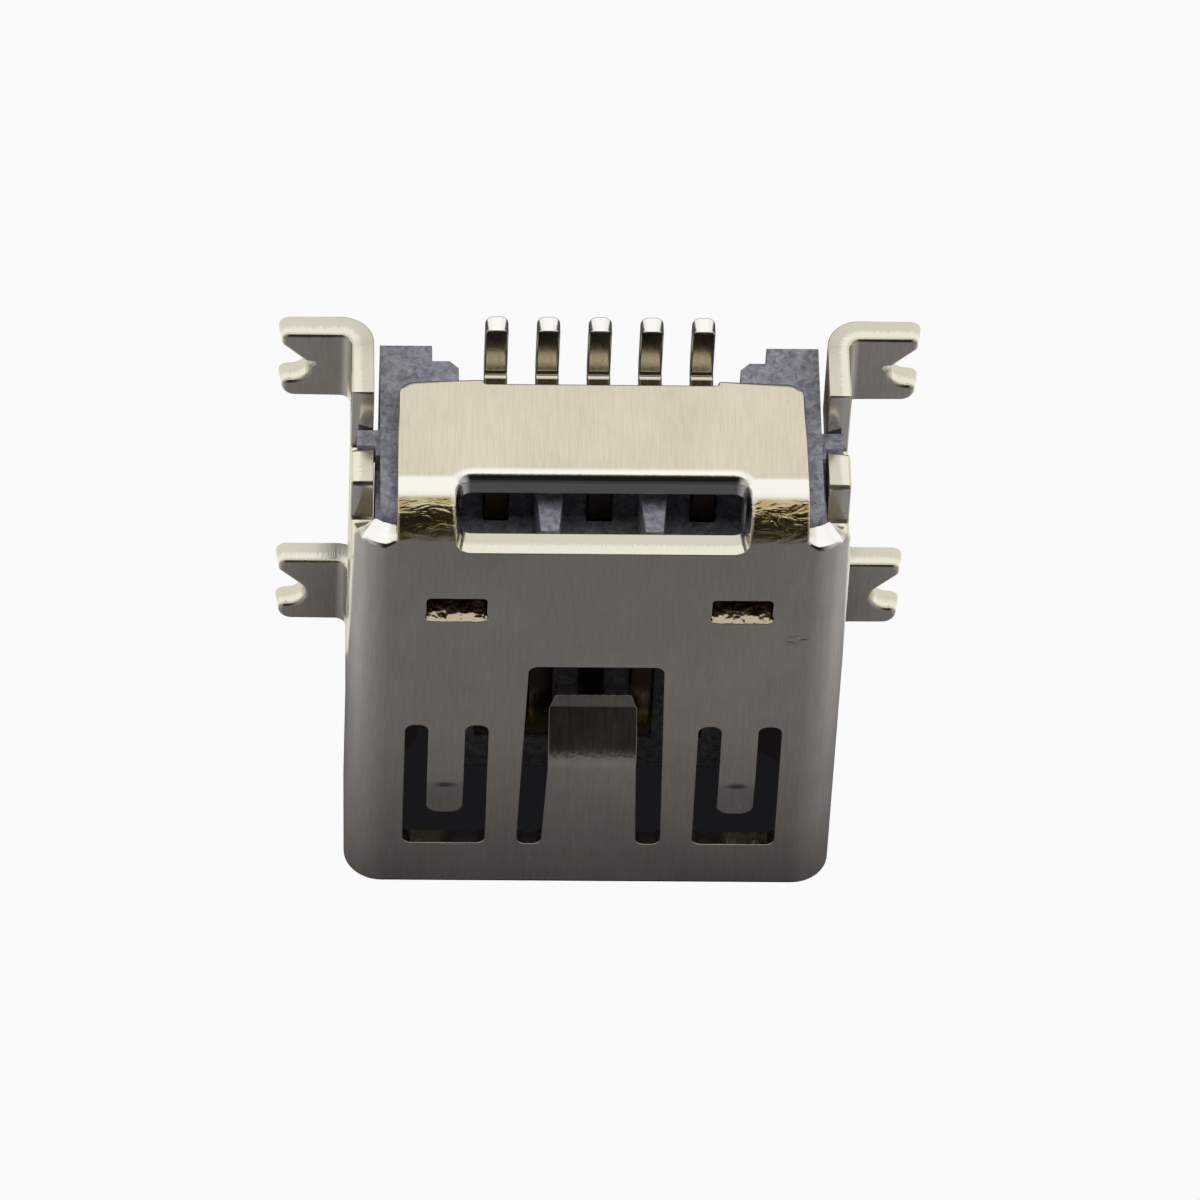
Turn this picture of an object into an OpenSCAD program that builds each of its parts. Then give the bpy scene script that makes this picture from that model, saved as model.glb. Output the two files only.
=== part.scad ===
// Mini-B receptacle for surface mounting: a folded sheet shell, a moulded housing, five contacts.
// The origin lies on the board, midway between the two locating pegs.
// +Z points off the board, the mouth faces -Y and the contact tails leave towards +Y.

/* [Sheet metal] */
// Thickness of the shell sheet
sheet_t = 0.35; // [0.28:0.01:0.38]
// Inner radius of the two top corner bends
corner_r = 0.25; // [0.2:0.05:0.35]
// Inner radius of the bends in the narrow lower half
keel_r = 0.15; // [0.1:0.05:0.25]
// Corner radius of the punched windows
punch_r = 0.08; // [0.04:0.02:0.14]

/* [Shell] */
// Width over the side walls
shell_w = 7.7; // [7.4:0.1:8.2]
// Height of the top face above the board
shell_h = 3.9; // [3.8:0.1:4.3]
// Length of the top wall, from the mouth to the rear bend
shell_l = 8.42; // [8.3:0.02:8.8]
// Distance from the mouth back to the locating pegs
peg_to_mouth = 5.85; // [5.7:0.05:6.1]
// Gap between the bottom wall and the board
board_gap = 0.15; // [0.1:0.05:0.2]
// Length of the narrow lower half, from the mouth
keel_l = 4.9; // [4.6:0.1:5.1]
// Width over the narrow lower half
keel_w = 6; // [5.7:0.1:6.4]
// Height at which the side walls turn in to the lower half
keel_z = 1.75; // [1.7:0.05:1.95]
// Slope of the turn from the side wall to the lower half, in degrees
keel_angle = 57; // [57:1:60]
// Gap along the seam in the bottom wall
seam_gap = 0.06; // [0.04:0.02:0.12]

/* [Rear flap] */
// Width of the flap that closes the rear
flap_w = 6.3; // [5.6:0.1:6.4]
// Inner radius of the flap bend
flap_r = 0.3; // [0.25:0.05:0.4]
// Height of the flap's free edge above the board
flap_z = 1.16; // [1:0.02:1.4]
// Corner radius of the free edge
flap_corner_r = 0.3; // [0.1:0.05:0.5]
// Width of the shallow relief in the free edge, over the contacts
relief_w = 3.6; // [3.4:0.1:4.4]
// Depth of that relief
relief_d = 0.08; // [0.04:0.02:0.16]
// Width of the window in the flap bend
bend_window_w = 4.4; // [3.6:0.1:5]
// Reach of the bend window into the top wall
bend_window_cut = 0.22; // [0.05:0.01:0.3]
// Reach of the bend window into the flat of the flap
bend_window_drop = 0.08; // [0.02:0.01:0.2]
// Corner radius of the bend window
bend_window_r = 0.2; // [0.1:0.05:0.3]

/* [Side walls at the rear] */
// How far the edge of the middle tab lies in front of the top wall's rear bend
side_in = 0.11; // [0.02:0.01:0.2]
// Height of the lower edge of the side walls behind the lower half
skirt_z = 1; // [0.8:0.05:1.2]
// Height of the top of the rear legs
leg_top_z = 1.53; // [1.4:0.01:1.6]
// Height of the upper side of the ear notch
ear_top_z = 1.92; // [1.85:0.01:2.05]
// Depth of the ear notch, forward from the edge of the tab
ear_d = 0.45; // [0.35:0.05:0.6]
// Height of the upper side of the middle tab
tab_top_z = 2.63; // [2.4:0.01:2.8]
// Height of the upper side of the slot above the tab
slot_top_z = 3.4; // [3.2:0.02:3.42]
// Length of that slot, forward from the edge of the tab
slot_d = 0.86; // [0.6:0.02:1]

/* [Solder feet] */
// Span over the tips of the solder feet
foot_span = 9.9; // [9.6:0.1:10.4]
// Length of each foot, along the socket
foot_l = 1.5; // [1.4:0.05:1.6]
// Inner radius of the foot bend
foot_r = 0.17; // [0.1:0.01:0.25]
// Distance from the locating pegs back to the middle of the rear feet
rear_foot_y = 2.55; // [2.45:0.05:2.7]
// Distance between the middles of the front and rear feet
foot_pitch = 5.45; // [5.2:0.05:5.6]
// Width of the notch at the tip of a foot
notch_w = 0.8; // [0.6:0.02:0.84]
// Depth of the notch to its unrounded point
notch_d = 0.54; // [0.4:0.01:0.6]
// Shift of the notch's mouth towards the rear
notch_shift = 0.07; // [0:0.01:0.1]
// How far the notch's point lies in front of the middle of its mouth
notch_lean = 0.17; // [0:0.01:0.2]
// Radius at the notch's point
notch_r = 0.08; // [0.04:0.01:0.12]
// Radius of the two prongs where they meet the notch
prong_r = 0.14; // [0.04:0.01:0.16]
// Radius of a foot's front corner
foot_front_r = 0.25; // [0.1:0.01:0.28]
// Radius of a foot's rear corner
foot_rear_r = 0.16; // [0.06:0.01:0.18]
// Gap punched out round a front leg
leg_gap = 0.12; // [0.08:0.02:0.2]

/* [Snap windows] */
// Width of each snap window
window_w = 0.94; // [0.7:0.02:1.2]
// Length of each snap window, along the socket
window_l = 0.57; // [0.4:0.01:0.7]
// Distance between the middles of the two windows
window_pitch = 4.4; // [4:0.1:4.8]
// Distance from the mouth back to the middle of the windows
window_y = 6.77; // [6.4:0.01:7]

/* [Latch finger] */
// Distance from the mouth back to the front of the finger's slots
latch_front = 0.99; // [0.8:0.01:1.2]
// Distance from the mouth back to the rear edge of the finger's opening
latch_rear = 5.41; // [5.3:0.01:5.6]
// Width of the opening at its rear edge
latch_rear_w = 2.1; // [1.9:0.05:2.3]
// Width over the slots at their front ends
latch_front_w = 2.27; // [2.2:0.01:2.4]
// Width of the finger at its root
finger_root_w = 1.5; // [1.3:0.05:1.6]
// Width of the finger at its bend
finger_w = 1.39; // [1.2:0.01:1.45]
// Width of the narrow tip where it starts
finger_tip_w = 1.2; // [0.9:0.05:1.2]
// Width of the narrow tip at its end
finger_end_w = 1.07; // [0.7:0.01:1.1]
// Distance from the mouth back to the finger's bend
finger_bend = 3.0; // [2.7:0.05:3.1]
// Slope of the finger into the mouth, in degrees
finger_angle = 35; // [20:1:40]
// How far the finger dips below the top wall
finger_dip = 0.5; // [0.35:0.05:0.6]
// Length of the level pad at the bottom of the dip
finger_pad = 0.24; // [0.15:0.02:0.3]
// Slope of the tip as it rises again, in degrees
tip_angle = 25; // [10:1:30]
// Length of the rising tip
tip_l = 0.7; // [0.4:0.05:0.75]
// Inner radius of the finger's bends
finger_r = 0.12; // [0.08:0.02:0.16]
// Corner radius at the ends of the slots
latch_r = 0.15; // [0.05:0.01:0.17]

/* [Ground springs] */
// Distance between the middles of the two springs
spring_pitch = 4.58; // [4.4:0.02:4.7]
// Width of each spring's opening
spring_cut_w = 1.3; // [1.1:0.05:1.4]
// Distance from the mouth back to the front of the openings
spring_front = 1; // [0.8:0.05:1.2]
// Distance from the mouth back to the roots of the springs
spring_rear = 3.96; // [3.8:0.02:4.2]
// Width of each spring
spring_w = 0.58; // [0.4:0.02:0.7]
// Length of each spring
spring_l = 2.2; // [1.8:0.05:2.4]
// Distance from a spring's root to its bend
spring_bend = 1.38; // [1:0.02:1.5]
// Slope of the spring's free end into the mouth, in degrees
spring_angle = 8; // [3:1:12]
// Inner radius of the spring's bend
spring_r = 0.6; // [0.2:0.1:1]
// Corner radius of the spring's free end
spring_end_r = 0.22; // [0.1:0.02:0.24]

/* [Housing] */
// Gap under the body
body_z = 0.05; // [0.03:0.01:0.1]
// Distance from the mouth back to the tip of the tongue
tongue_front = 0.8; // [0.6:0.05:1]
// Width of the tongue
tongue_w = 4.5; // [4.2:0.1:4.8]
// Height of the tongue's upper face above the board
tongue_z = 2.25; // [2.2:0.05:2.4]
// Thickness of the tongue
tongue_t = 0.8; // [0.7:0.05:0.95]
// Radius of the tongue's edges
tongue_r = 0.15; // [0.05:0.05:0.25]
// Width of the recess behind the contacts
recess_w = 4.36; // [4.2:0.02:4.5]
// Height of the arch over the tails
arch_z = 0.8; // [0.7:0.05:0.95]
// Length of the arch, forward from the rear face
arch_l = 1.5; // [1.1:0.1:1.8]
// Width between the outer feet of the body's rear blocks
block_w = 5.18; // [5:0.02:5.4]
// Height of the inner step of the rear blocks
block_step_z = 0.36; // [0.3:0.01:0.5]
// Chamfer of that step
block_chamfer = 0.14; // [0.06:0.02:0.16]
// Length of the pocket over the contacts, forward from the recess
pocket_l = 0.65; // [0.4:0.05:0.7]
// Width of the two ribs seen through the bend window, at their lower edge
rib_w = 0.44; // [0.3:0.02:0.5]
// Width of those ribs at their upper edge
rib_top_w = 0.27; // [0.2:0.01:0.28]
// Height of the ribs' lower edge above the board
rib_z = 2.6; // [2.5:0.02:2.8]
// How far the ribs reach into the recess
rib_d = 0.5; // [0.3:0.05:0.6]
// Diameter of the locating pegs
peg_d = 0.8; // [0.6:0.05:0.9]
// Length of the pegs below the board plane
peg_l = 0.8; // [0.5:0.1:1.2]
// Distance between the locating pegs
peg_pitch = 4.4; // [4:0.1:4.8]
// Chamfer at the tip of a peg
peg_chamfer = 0.12; // [0.05:0.01:0.2]
// Height of the snap nubs above the body
nub_h = 0.06; // [0.04:0.01:0.12]
// Height of an ear's root above the notch, inside the wall
ear_root = 0.16; // [0.06:0.02:0.24]

/* [Contacts] */
// Distance between neighbouring contacts
contact_pitch = 0.8; // [0.7:0.02:0.86]
// Width of a contact
contact_w = 0.36; // [0.28:0.02:0.4]
// Thickness of a contact
contact_t = 0.23; // [0.2:0.01:0.25]
// How far a contact stands above the tongue
contact_proud = 0.08; // [0.04:0.02:0.12]
// Distance from the mouth back to the front end of the contacts
contact_front = 1.75; // [1.5:0.05:2]
// Slope of the front end as it dips into the tongue, in degrees
contact_dip = 24; // [16:1:28]
// Inner radius of that dip
dip_r = 0.8; // [0.5:0.1:0.9]
// Inner radius of the bends of the tail
tail_r = 0.1; // [0.06:0.02:0.14]
// Gap between the risers and the flap
riser_gap = 0.62; // [0.5:0.01:0.66]
// How far the tails reach past the flap
tail_reach = 0.11; // [0.05:0.01:0.3]

/* [Clearances] */
// Gap between the body and the side walls
side_gap = 0.1; // [0.08:0.01:0.15]
// Gap between the body's rails and the side walls
rail_gap = 0.03; // [0.02:0.01:0.06]
// Gap between the body and the top wall
top_gap = 0.03; // [0.02:0.01:0.06]
// Gap between the body and the flap
flap_gap = 0.17; // [0.1:0.01:0.2]
// Gap between the body and the end of the lower half
keel_gap = 0.05; // [0.03:0.01:0.1]
// Gap round the ears and nubs in their notches and windows
snap_gap = 0.04; // [0.02:0.01:0.08]
// How far the ears stay inside the outer faces of the side walls
ear_inset = 0.1; // [0.04:0.02:0.16]
// Gap beside and above a contact in its groove
contact_gap = 0.02; // [0.01:0.01:0.04]
// Room under the latch finger for its flex
flex_gap = 0.3; // [0.2:0.05:0.4]

/* [Hidden] */
$fn = 48;
// Overlap by which a cut runs past the face that it opens
past = 0.1;
// Hair's breadth by which a rounding laps over slanted edges, so that they meet cleanly
hair = 0.0002;
// One node for each contact of the type
contact_count = 5;

// Places along the socket
mouth_y = back(0);
rear_y = back(shell_l);
flap_in_y = rear_y + flap_r;
flap_out_y = flap_in_y + sheet_t;
side_rear_y = rear_y - side_in;
front_foot_y = rear_foot_y - foot_pitch;
body_front_y = back(keel_l) + keel_gap;
body_rear_y = flap_in_y - flap_gap;
riser_y = flap_in_y - riser_gap;
riser_front_y = riser_y - contact_t;
recess_y = riser_front_y - tail_r - contact_gap;
pocket_y = recess_y - pocket_l;

// Levels and half widths of the shell
top_in_z = shell_h - sheet_t;
top_mid_z = shell_h - sheet_t / 2;
wall_x = (shell_w - sheet_t) / 2;
wall_in_x = shell_w / 2 - sheet_t;
corner_x = wall_in_x - corner_r;
corner_z = top_in_z - corner_r;
bend_z = top_in_z - flap_r;

// The turn from the side wall to the lower half, measured on the middle of the sheet
keel_mid_r = keel_r + sheet_t / 2;
keel_in = (shell_w - keel_w) / 2;
keel_slant = (keel_in - 2 * keel_mid_r * (1 - cos(keel_angle))) / sin(keel_angle);
keel_fall = 2 * keel_mid_r * sin(keel_angle) + keel_slant * cos(keel_angle);
keel_drop = keel_z - keel_fall - keel_mid_r - board_gap - sheet_t / 2;
keel_flat = keel_w / 2 - sheet_t - keel_r - seam_gap / 2;

// The sheet that a front leg is cut from, laid out along the lower half
foot_flat = foot_span / 2 - shell_w / 2 - foot_r;
foot_arc = (foot_r + sheet_t / 2) * PI / 2;
leg_blank = keel_z - foot_r - sheet_t + foot_arc + foot_flat;
keel_arcs = keel_mid_r * (2 * keel_angle + 90) * PI / 180;
leg_cut_x = keel_w / 2 - sheet_t - keel_r - (leg_blank - keel_arcs - keel_slant - keel_drop);

// Runs of the latch finger along the middle of the sheet, and its reach behind the bend
finger_mid_r = finger_r + sheet_t / 2;
finger_slope = (finger_dip - 2 * finger_mid_r * (1 - cos(finger_angle))) / sin(finger_angle);
finger_pad_y = 2 * finger_mid_r * sin(finger_angle) + finger_slope * cos(finger_angle) + finger_pad;
finger_reach = finger_pad_y + finger_mid_r * sin(tip_angle) + tip_l * cos(tip_angle);

// Sizes of the housing
body_x = wall_in_x - side_gap;
body_top_z = top_in_z - top_gap;
ear_x = shell_w / 2 - ear_inset;

// Sizes of the contacts
contact_z = tongue_z + contact_proud - contact_t;
groove_w = contact_w + 2 * contact_gap;
dip_mid_r = dip_r + contact_t / 2;
dip_y = dip_mid_r * sin(contact_dip);
dip_z = dip_mid_r * (1 - cos(contact_dip));
tail_mid_r = tail_r + contact_t / 2;
first_contact_x = -contact_pitch * (contact_count - 1) / 2;

// Place that lies the given distance behind the mouth
function back(d) = d - peg_to_mouth;
function unit(v) = v / norm(v);
function half_angle(a, p, b) = acos(unit(a - p) * unit(b - p)) / 2;
// The points where a corner of an outline meets its rounding
function corner_points(a, p, b, r) =
    r == 0 ? [p] : [for (q = [a, b]) p + unit(q - p) * r / tan(half_angle(a, p, b))];
function corner_centre(a, p, b, r) = p + unit(unit(a - p) + unit(b - p)) * r / sin(half_angle(a, p, b));
function is_outer(a, p, b) = cross(p - a, b - p) > 0;
function wrap(list, i) = list[(i + len(list)) % len(list)];
// Mirror image of a half outline, joined to it so that the points run anticlockwise
function both_halves(right) = concat(right, [for (i = [len(right) - 1:-1:0]) [-right[i].x, right[i].y]]);
function both_radii(right) = concat(right, [for (i = [len(right) - 1:-1:0]) right[i]]);

// Outline with true arcs at its corners, its points listed anticlockwise
// Where edges slant, the arcs lap over them by a hair
module rounded(points, radii, lap = 0) {
    corners = [for (i = [0:len(points) - 1]) [wrap(points, i - 1), points[i], wrap(points, i + 1), radii[i]]];
    difference() {
        union() {
            polygon([for (c = corners) each corner_points(c[0], c[1], c[2], c[3])]);
            for (c = corners)
                if (c[3] > 0 && is_outer(c[0], c[1], c[2]))
                    translate(corner_centre(c[0], c[1], c[2], c[3])) circle(c[3] + lap);
        }
        for (c = corners)
            if (c[3] > 0 && !is_outer(c[0], c[1], c[2]))
                translate(corner_centre(c[0], c[1], c[2], c[3])) circle(c[3] + lap);
    }
}

// Rectangle with rounded corners, centred
module rounded_rect(w, l, r)
    rounded([[-w, -l] / 2, [w, -l] / 2, [w, l] / 2, [-w, l] / 2], [r, r, r, r]);

// Ring sector of a bend that turns left by an angle up to 90 degrees
module left_bend(turn, r, t) {
    far = 2 * (r + t);
    translate([0, r + t / 2]) intersection() {
        difference() {
            circle(r + t);
            circle(r);
        }
        polygon([[0, 0], [0, -far], [far * tan(turn / 2), -far], far * [sin(turn), -cos(turn)]]);
    }
}

// Strip drawn along its middle, from the origin towards +X
// Each step is a straight run, the turn after it in degrees, left positive, and the bend's inner radius
module bent_strip(steps, t, i = 0) {
    run = steps[i][0];
    turn = steps[i][1];
    r = steps[i][2];
    mid_r = r + t / 2;
    side = sign(turn);
    if (run > 0) translate([0, -t / 2]) square([run, t]);
    translate([run, 0]) {
        if (turn > 0) left_bend(turn, r, t);
        if (turn < 0) mirror([0, 1]) left_bend(-turn, r, t);
        if (i < len(steps) - 1)
            translate([mid_r * sin(abs(turn)), side * mid_r * (1 - cos(turn))])
                rotate(turn) bent_strip(steps, t, i + 1);
    }
}

// Outline in X and Z, drawn out along Y
module along_y(y0, y1) translate([0, y1, 0]) rotate([90, 0, 0]) linear_extrude(y1 - y0) children();
// Outline in Y and Z, drawn out across X about the middle
module across_x(w) translate([-w / 2, 0, 0]) rotate([90, 0, 90]) linear_extrude(w) children();
// Outline in X and Y, drawn out along Z
module upright(z0, z1) translate([0, 0, z0]) linear_extrude(z1 - z0) children();
module box(low, high) translate(low) cube(high - low);
module both_sides() {
    children();
    mirror([1, 0, 0]) children();
}

// Half section of the top wall, its corner and one side wall down to a level
module wall_section(low_z)
    translate([0, top_mid_z])
        bent_strip([[corner_x, -90, corner_r], [corner_z - low_z, 0, 0]], sheet_t);

// Half section of the lower half, from the side wall to the seam
module keel_section()
    translate([wall_x, keel_z]) rotate(-90)
        bent_strip([[0, -keel_angle, keel_r], [keel_slant, keel_angle, keel_r],
            [keel_drop, -90, keel_r], [keel_flat, 0, 0]], sheet_t);

// Top wall and side walls, deeper behind the lower half
module walls() both_sides() {
    along_y(mouth_y, back(keel_l)) wall_section(keel_z);
    along_y(back(keel_l), rear_y) wall_section(skirt_z);
}

// What is cut from the rear edge of one side wall: the notch for the ear, the slot and the end of the wall
module side_wall_cuts() {
    x0 = body_x;
    x1 = shell_w / 2 + past;
    y1 = rear_y + past;
    box([x0, side_rear_y - ear_d, leg_top_z], [x1, y1, ear_top_z]);
    box([x0, side_rear_y - slot_d, tab_top_z], [x1, y1, slot_top_z]);
    box([x0, side_rear_y, skirt_z - past], [x1, y1, slot_top_z]);
}

// Outline of one solder foot with its notch, seen from above
module foot_outline() {
    x0 = wall_in_x - past;
    x1 = foot_span / 2;
    rounded([[x0, -foot_l / 2], [x1, -foot_l / 2], [x1, notch_shift - notch_w / 2],
        [x1 - notch_d, notch_shift - notch_lean], [x1, notch_shift + notch_w / 2],
        [x1, foot_l / 2], [x0, foot_l / 2]],
        [0, foot_front_r, prong_r, notch_r, prong_r, foot_rear_r, 0], hair);
}

// Leg and solder foot under one side wall, centred on a place along the socket
module leg(y, top_z) intersection() {
    along_y(y - foot_l / 2, y + foot_l / 2)
        translate([wall_x, top_z]) rotate(-90)
            bent_strip([[top_z - foot_r - sheet_t, 90, foot_r], [foot_flat, 0, 0]], sheet_t);
    translate([0, y, 0]) upright(-past, top_z + past) foot_outline();
}

// Gap punched out of the lower half to free a front leg
module leg_window()
    box([leg_cut_x, front_foot_y - foot_l / 2 - leg_gap, board_gap - past],
        [shell_w / 2 + past, front_foot_y + foot_l / 2 + leg_gap, keel_z]);

// Rear flap with its bend, before the window is cut
module flap() difference() {
    across_x(flap_w)
        translate([rear_y - bend_window_cut, top_mid_z])
            bent_strip([[bend_window_cut, -90, flap_r], [bend_z - flap_z, 0, 0]], sheet_t);
    both_sides() along_y(flap_in_y - past, flap_out_y + past)
        translate([flap_w / 2, flap_z]) rotate(90) difference() {
            translate([-past, -past]) square(flap_corner_r + past);
            translate([flap_corner_r, flap_corner_r]) circle(flap_corner_r);
        }
    box([-relief_w / 2, flap_in_y - past, flap_z - past],
        [relief_w / 2, flap_out_y + past, flap_z + relief_d]);
}

// Window through the flap bend, with rounded corners in the top wall and in the flap
module bend_window() {
    x = bend_window_w / 2;
    low_z = bend_z - bend_window_drop;
    front_y = rear_y - bend_window_cut;
    round_y = front_y + bend_window_r;
    radii = [bend_window_r, bend_window_r, 0, 0];
    upright(low_z, shell_h + past)
        rounded([[-x, front_y], [x, front_y], [x, round_y + past], [-x, round_y + past]], radii);
    along_y(round_y, flap_out_y + past)
        rounded([[-x, low_z], [x, low_z], [x, shell_h + past], [-x, shell_h + past]], radii);
}

// Finger seen from above, with the shoulders of its narrow tip
module finger_outline() {
    root_y = back(latch_front);
    bend_y = back(finger_bend);
    shoulder_y = bend_y + finger_pad_y;
    end_y = bend_y + finger_reach + sheet_t;
    rounded(both_halves([[latch_front_w / 2, root_y - past], [latch_front_w / 2, root_y],
        [finger_root_w / 2, root_y], [finger_w / 2, bend_y], [finger_w / 2, shoulder_y],
        [finger_tip_w / 2, shoulder_y], [finger_end_w / 2, end_y]]),
        both_radii([0, 0, latch_r, 0, 0, 0, 0]), hair);
}

module finger() intersection() {
    across_x(latch_front_w)
        translate([back(latch_front), top_mid_z])
            bent_strip([[finger_bend - latch_front, -finger_angle, finger_r],
                [finger_slope, finger_angle, finger_r], [finger_pad, tip_angle, finger_r],
                [tip_l, 0, 0]], sheet_t);
    upright(0, shell_h + past) finger_outline();
}

// Opening round the finger: it leaves the web that the finger grows from
module latch_opening() {
    y0 = back(latch_front);
    y1 = back(latch_rear);
    upright(top_in_z - past, shell_h + past)
        rounded(both_halves([[latch_front_w / 2, y0], [latch_rear_w / 2, y1]]),
            both_radii([latch_r, latch_r]), hair);
}

// One ground spring, rooted at the rear of its opening
module ground_spring() {
    root_y = back(spring_rear);
    translate([spring_pitch / 2, 0, 0]) intersection() {
        across_x(spring_cut_w)
            translate([root_y, top_mid_z]) rotate(180)
                bent_strip([[spring_bend, spring_angle, spring_r], [spring_l, 0, 0]], sheet_t);
        upright(0, shell_h + past) spring_outline(root_y, root_y - spring_l);
    }
}

// Spring seen from above, with fillets at its root and a rounded free end
module spring_outline(root_y, free_y) {
    rounded(both_halves([[spring_w / 2, free_y], [spring_w / 2, root_y], [spring_cut_w / 2, root_y],
        [spring_cut_w / 2, root_y + past]]), both_radii([spring_end_r, latch_r, 0, 0]));
}

module spring_opening()
    translate([spring_pitch / 2, back((spring_front + spring_rear) / 2), 0])
        upright(top_in_z - past, shell_h + past)
            rounded_rect(spring_cut_w, spring_rear - spring_front, latch_r);

module snap_window()
    translate([window_pitch / 2, back(window_y), 0])
        upright(top_in_z - past, shell_h + past) rounded_rect(window_w, window_l, punch_r);

module shell() color("#b7b0a0") union() {
    difference() {
        union() {
            walls();
            flap();
        }
        both_sides() {
            side_wall_cuts();
            spring_opening();
            snap_window();
        }
        bend_window();
        latch_opening();
    }
    difference() {
        both_sides() along_y(mouth_y, back(keel_l)) keel_section();
        both_sides() leg_window();
    }
    both_sides() {
        leg(front_foot_y, keel_z);
        leg(rear_foot_y, leg_top_z);
        ground_spring();
    }
    finger();
}

// Section of the body across the socket, with the arch and the stepped blocks at the rear
module body_section(arched) {
    arch = [[recess_w / 2, arch_z], [recess_w / 2, block_step_z + block_chamfer],
        [recess_w / 2 + block_chamfer, block_step_z], [block_w / 2, block_step_z], [block_w / 2, body_z]];
    right = concat(arched ? arch : [], [[body_x, body_z], [body_x, body_top_z]]);
    rounded(both_halves(right), both_radii([for (p = right) p.y == body_top_z ? corner_r : 0]));
}

// The body, rounded under the flap bend
module body() intersection() {
    union() {
        along_y(body_front_y, body_rear_y - arch_l) body_section(false);
        along_y(body_rear_y - arch_l, body_rear_y) body_section(true);
    }
    across_x(shell_w)
        rounded([[body_front_y - past, 0], [body_rear_y, 0], [body_rear_y, body_top_z],
            [body_front_y - past, body_top_z]], [0, 0, flap_r, 0]);
}

// Recess that the risers of the contacts stand in, with the pocket that leaves their runs bare
module recess() {
    box([-recess_w / 2, recess_y, 0], [recess_w / 2, body_rear_y + past, shell_h]);
    box([-recess_w / 2, pocket_y, tongue_z], [recess_w / 2, recess_y + past, shell_h]);
}

// Two tapered ribs across the pocket, above the contacts beside the middle one
module ribs()
    both_sides() translate([contact_pitch, 0, 0])
        along_y(pocket_y - past, recess_y + rib_d)
            polygon([[-rib_w / 2, rib_z], [rib_w / 2, rib_z], [rib_top_w / 2, body_top_z],
                [-rib_top_w / 2, body_top_z]]);

// Tongue with rounded edges
module tongue() intersection() {
    along_y(back(tongue_front), body_front_y + past)
        translate([0, tongue_z - tongue_t / 2]) rounded_rect(tongue_w, tongue_t, tongue_r);
    across_x(tongue_w + past)
        rounded([[back(tongue_front), tongue_z - tongue_t], [body_front_y + 2 * past, tongue_z - tongue_t],
            [body_front_y + 2 * past, tongue_z], [back(tongue_front), tongue_z]], [tongue_r, 0, 0, tongue_r]);
}

// Groove in the tongue and passage through the body for one contact
module contact_groove(x) translate([x - groove_w / 2, 0, 0]) {
    y0 = back(contact_front) - contact_gap;
    box([0, y0, contact_z], [groove_w, body_front_y, tongue_z + past]);
    box([0, body_front_y - past, contact_z],
        [groove_w, recess_y + past, contact_z + contact_t + contact_gap]);
    box([0, y0 - contact_t * sin(contact_dip), contact_z - dip_z - contact_gap],
        [groove_w, back(contact_front) + dip_y + contact_gap, tongue_z + past]);
}

// Pocket in the body's top edge, in which the end of the latch finger can flex
module latch_pocket()
    box([-latch_rear_w / 2, body_front_y - past, top_in_z - finger_dip - flex_gap],
        [latch_rear_w / 2, back(latch_rear), shell_h]);

// Ear that fills the notch in one side wall, with its root and the rail that guides the body in front of it
module ear() {
    low = [body_x - past, side_rear_y - ear_d + snap_gap, leg_top_z + snap_gap];
    rail_x = wall_in_x - rail_gap;
    box(low, [ear_x, side_rear_y, ear_top_z - snap_gap]);
    box(low, [rail_x, side_rear_y, ear_top_z + ear_root]);
    box([low.x, body_front_y, low.z], [rail_x, low.y + snap_gap, corner_z]);
}

// Wedge that snaps into one window of the top wall
module snap_nub() {
    reach = window_l / 2 - snap_gap;
    foot_z = body_top_z - past;
    translate([window_pitch / 2, back(window_y), 0])
        across_x(window_w - 2 * snap_gap - 2 * punch_r)
            polygon([[-reach, foot_z], [reach, foot_z], [reach, body_top_z + nub_h / 2],
                [-reach, body_top_z + nub_h]]);
}

// Peg that locates the socket on the board
module locating_peg() translate([peg_pitch / 2, 0, 0]) {
    translate([0, 0, -peg_l + peg_chamfer]) cylinder(d = peg_d, h = peg_l - peg_chamfer + body_z + past);
    translate([0, 0, -peg_l]) cylinder(d1 = peg_d - 2 * peg_chamfer, d2 = peg_d, h = peg_chamfer);
}

module housing() color("#3d3d46") union() {
    difference() {
        union() {
            body();
            tongue();
        }
        recess();
        latch_pocket();
        for (i = [0:contact_count - 1]) contact_groove(first_contact_x + i * contact_pitch);
    }
    ribs();
    both_sides() {
        ear();
        snap_nub();
        locating_peg();
    }
}

// One contact: the dipped front end, the run through the body, the riser and the tail
module contact(i) color("#c8ad6b") {
    run = riser_front_y - tail_r - back(contact_front) - dip_y;
    fall = contact_z - contact_t - 2 * tail_r;
    tail = flap_out_y + tail_reach - riser_y - tail_r;
    translate([first_contact_x + (i - 1) * contact_pitch, 0, 0]) across_x(contact_w)
        translate([back(contact_front), contact_z + contact_t / 2 - dip_z]) rotate(contact_dip)
            bent_strip([[0, -contact_dip, dip_r], [run, -90, tail_r], [fall, 90, tail_r], [tail, 0, 0]],
                contact_t);
}

module contact_1() contact(1);
module contact_2() contact(2);
module contact_3() contact(3);
module contact_4() contact(4);
module contact_5() contact(5);

shell();
housing();
contact_1();
contact_2();
contact_3();
contact_4();
contact_5();
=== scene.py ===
"""Dress a surface-mount socket: folded shell, moulded housing and stamped contacts, in a studio."""
import logging
import math
from dataclasses import dataclass, field
from enum import Enum
from typing import Any, Callable, Sequence

import bmesh
import bpy
from mathutils import Matrix, Vector
from mathutils.geometry import tessellate_polygon


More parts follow.
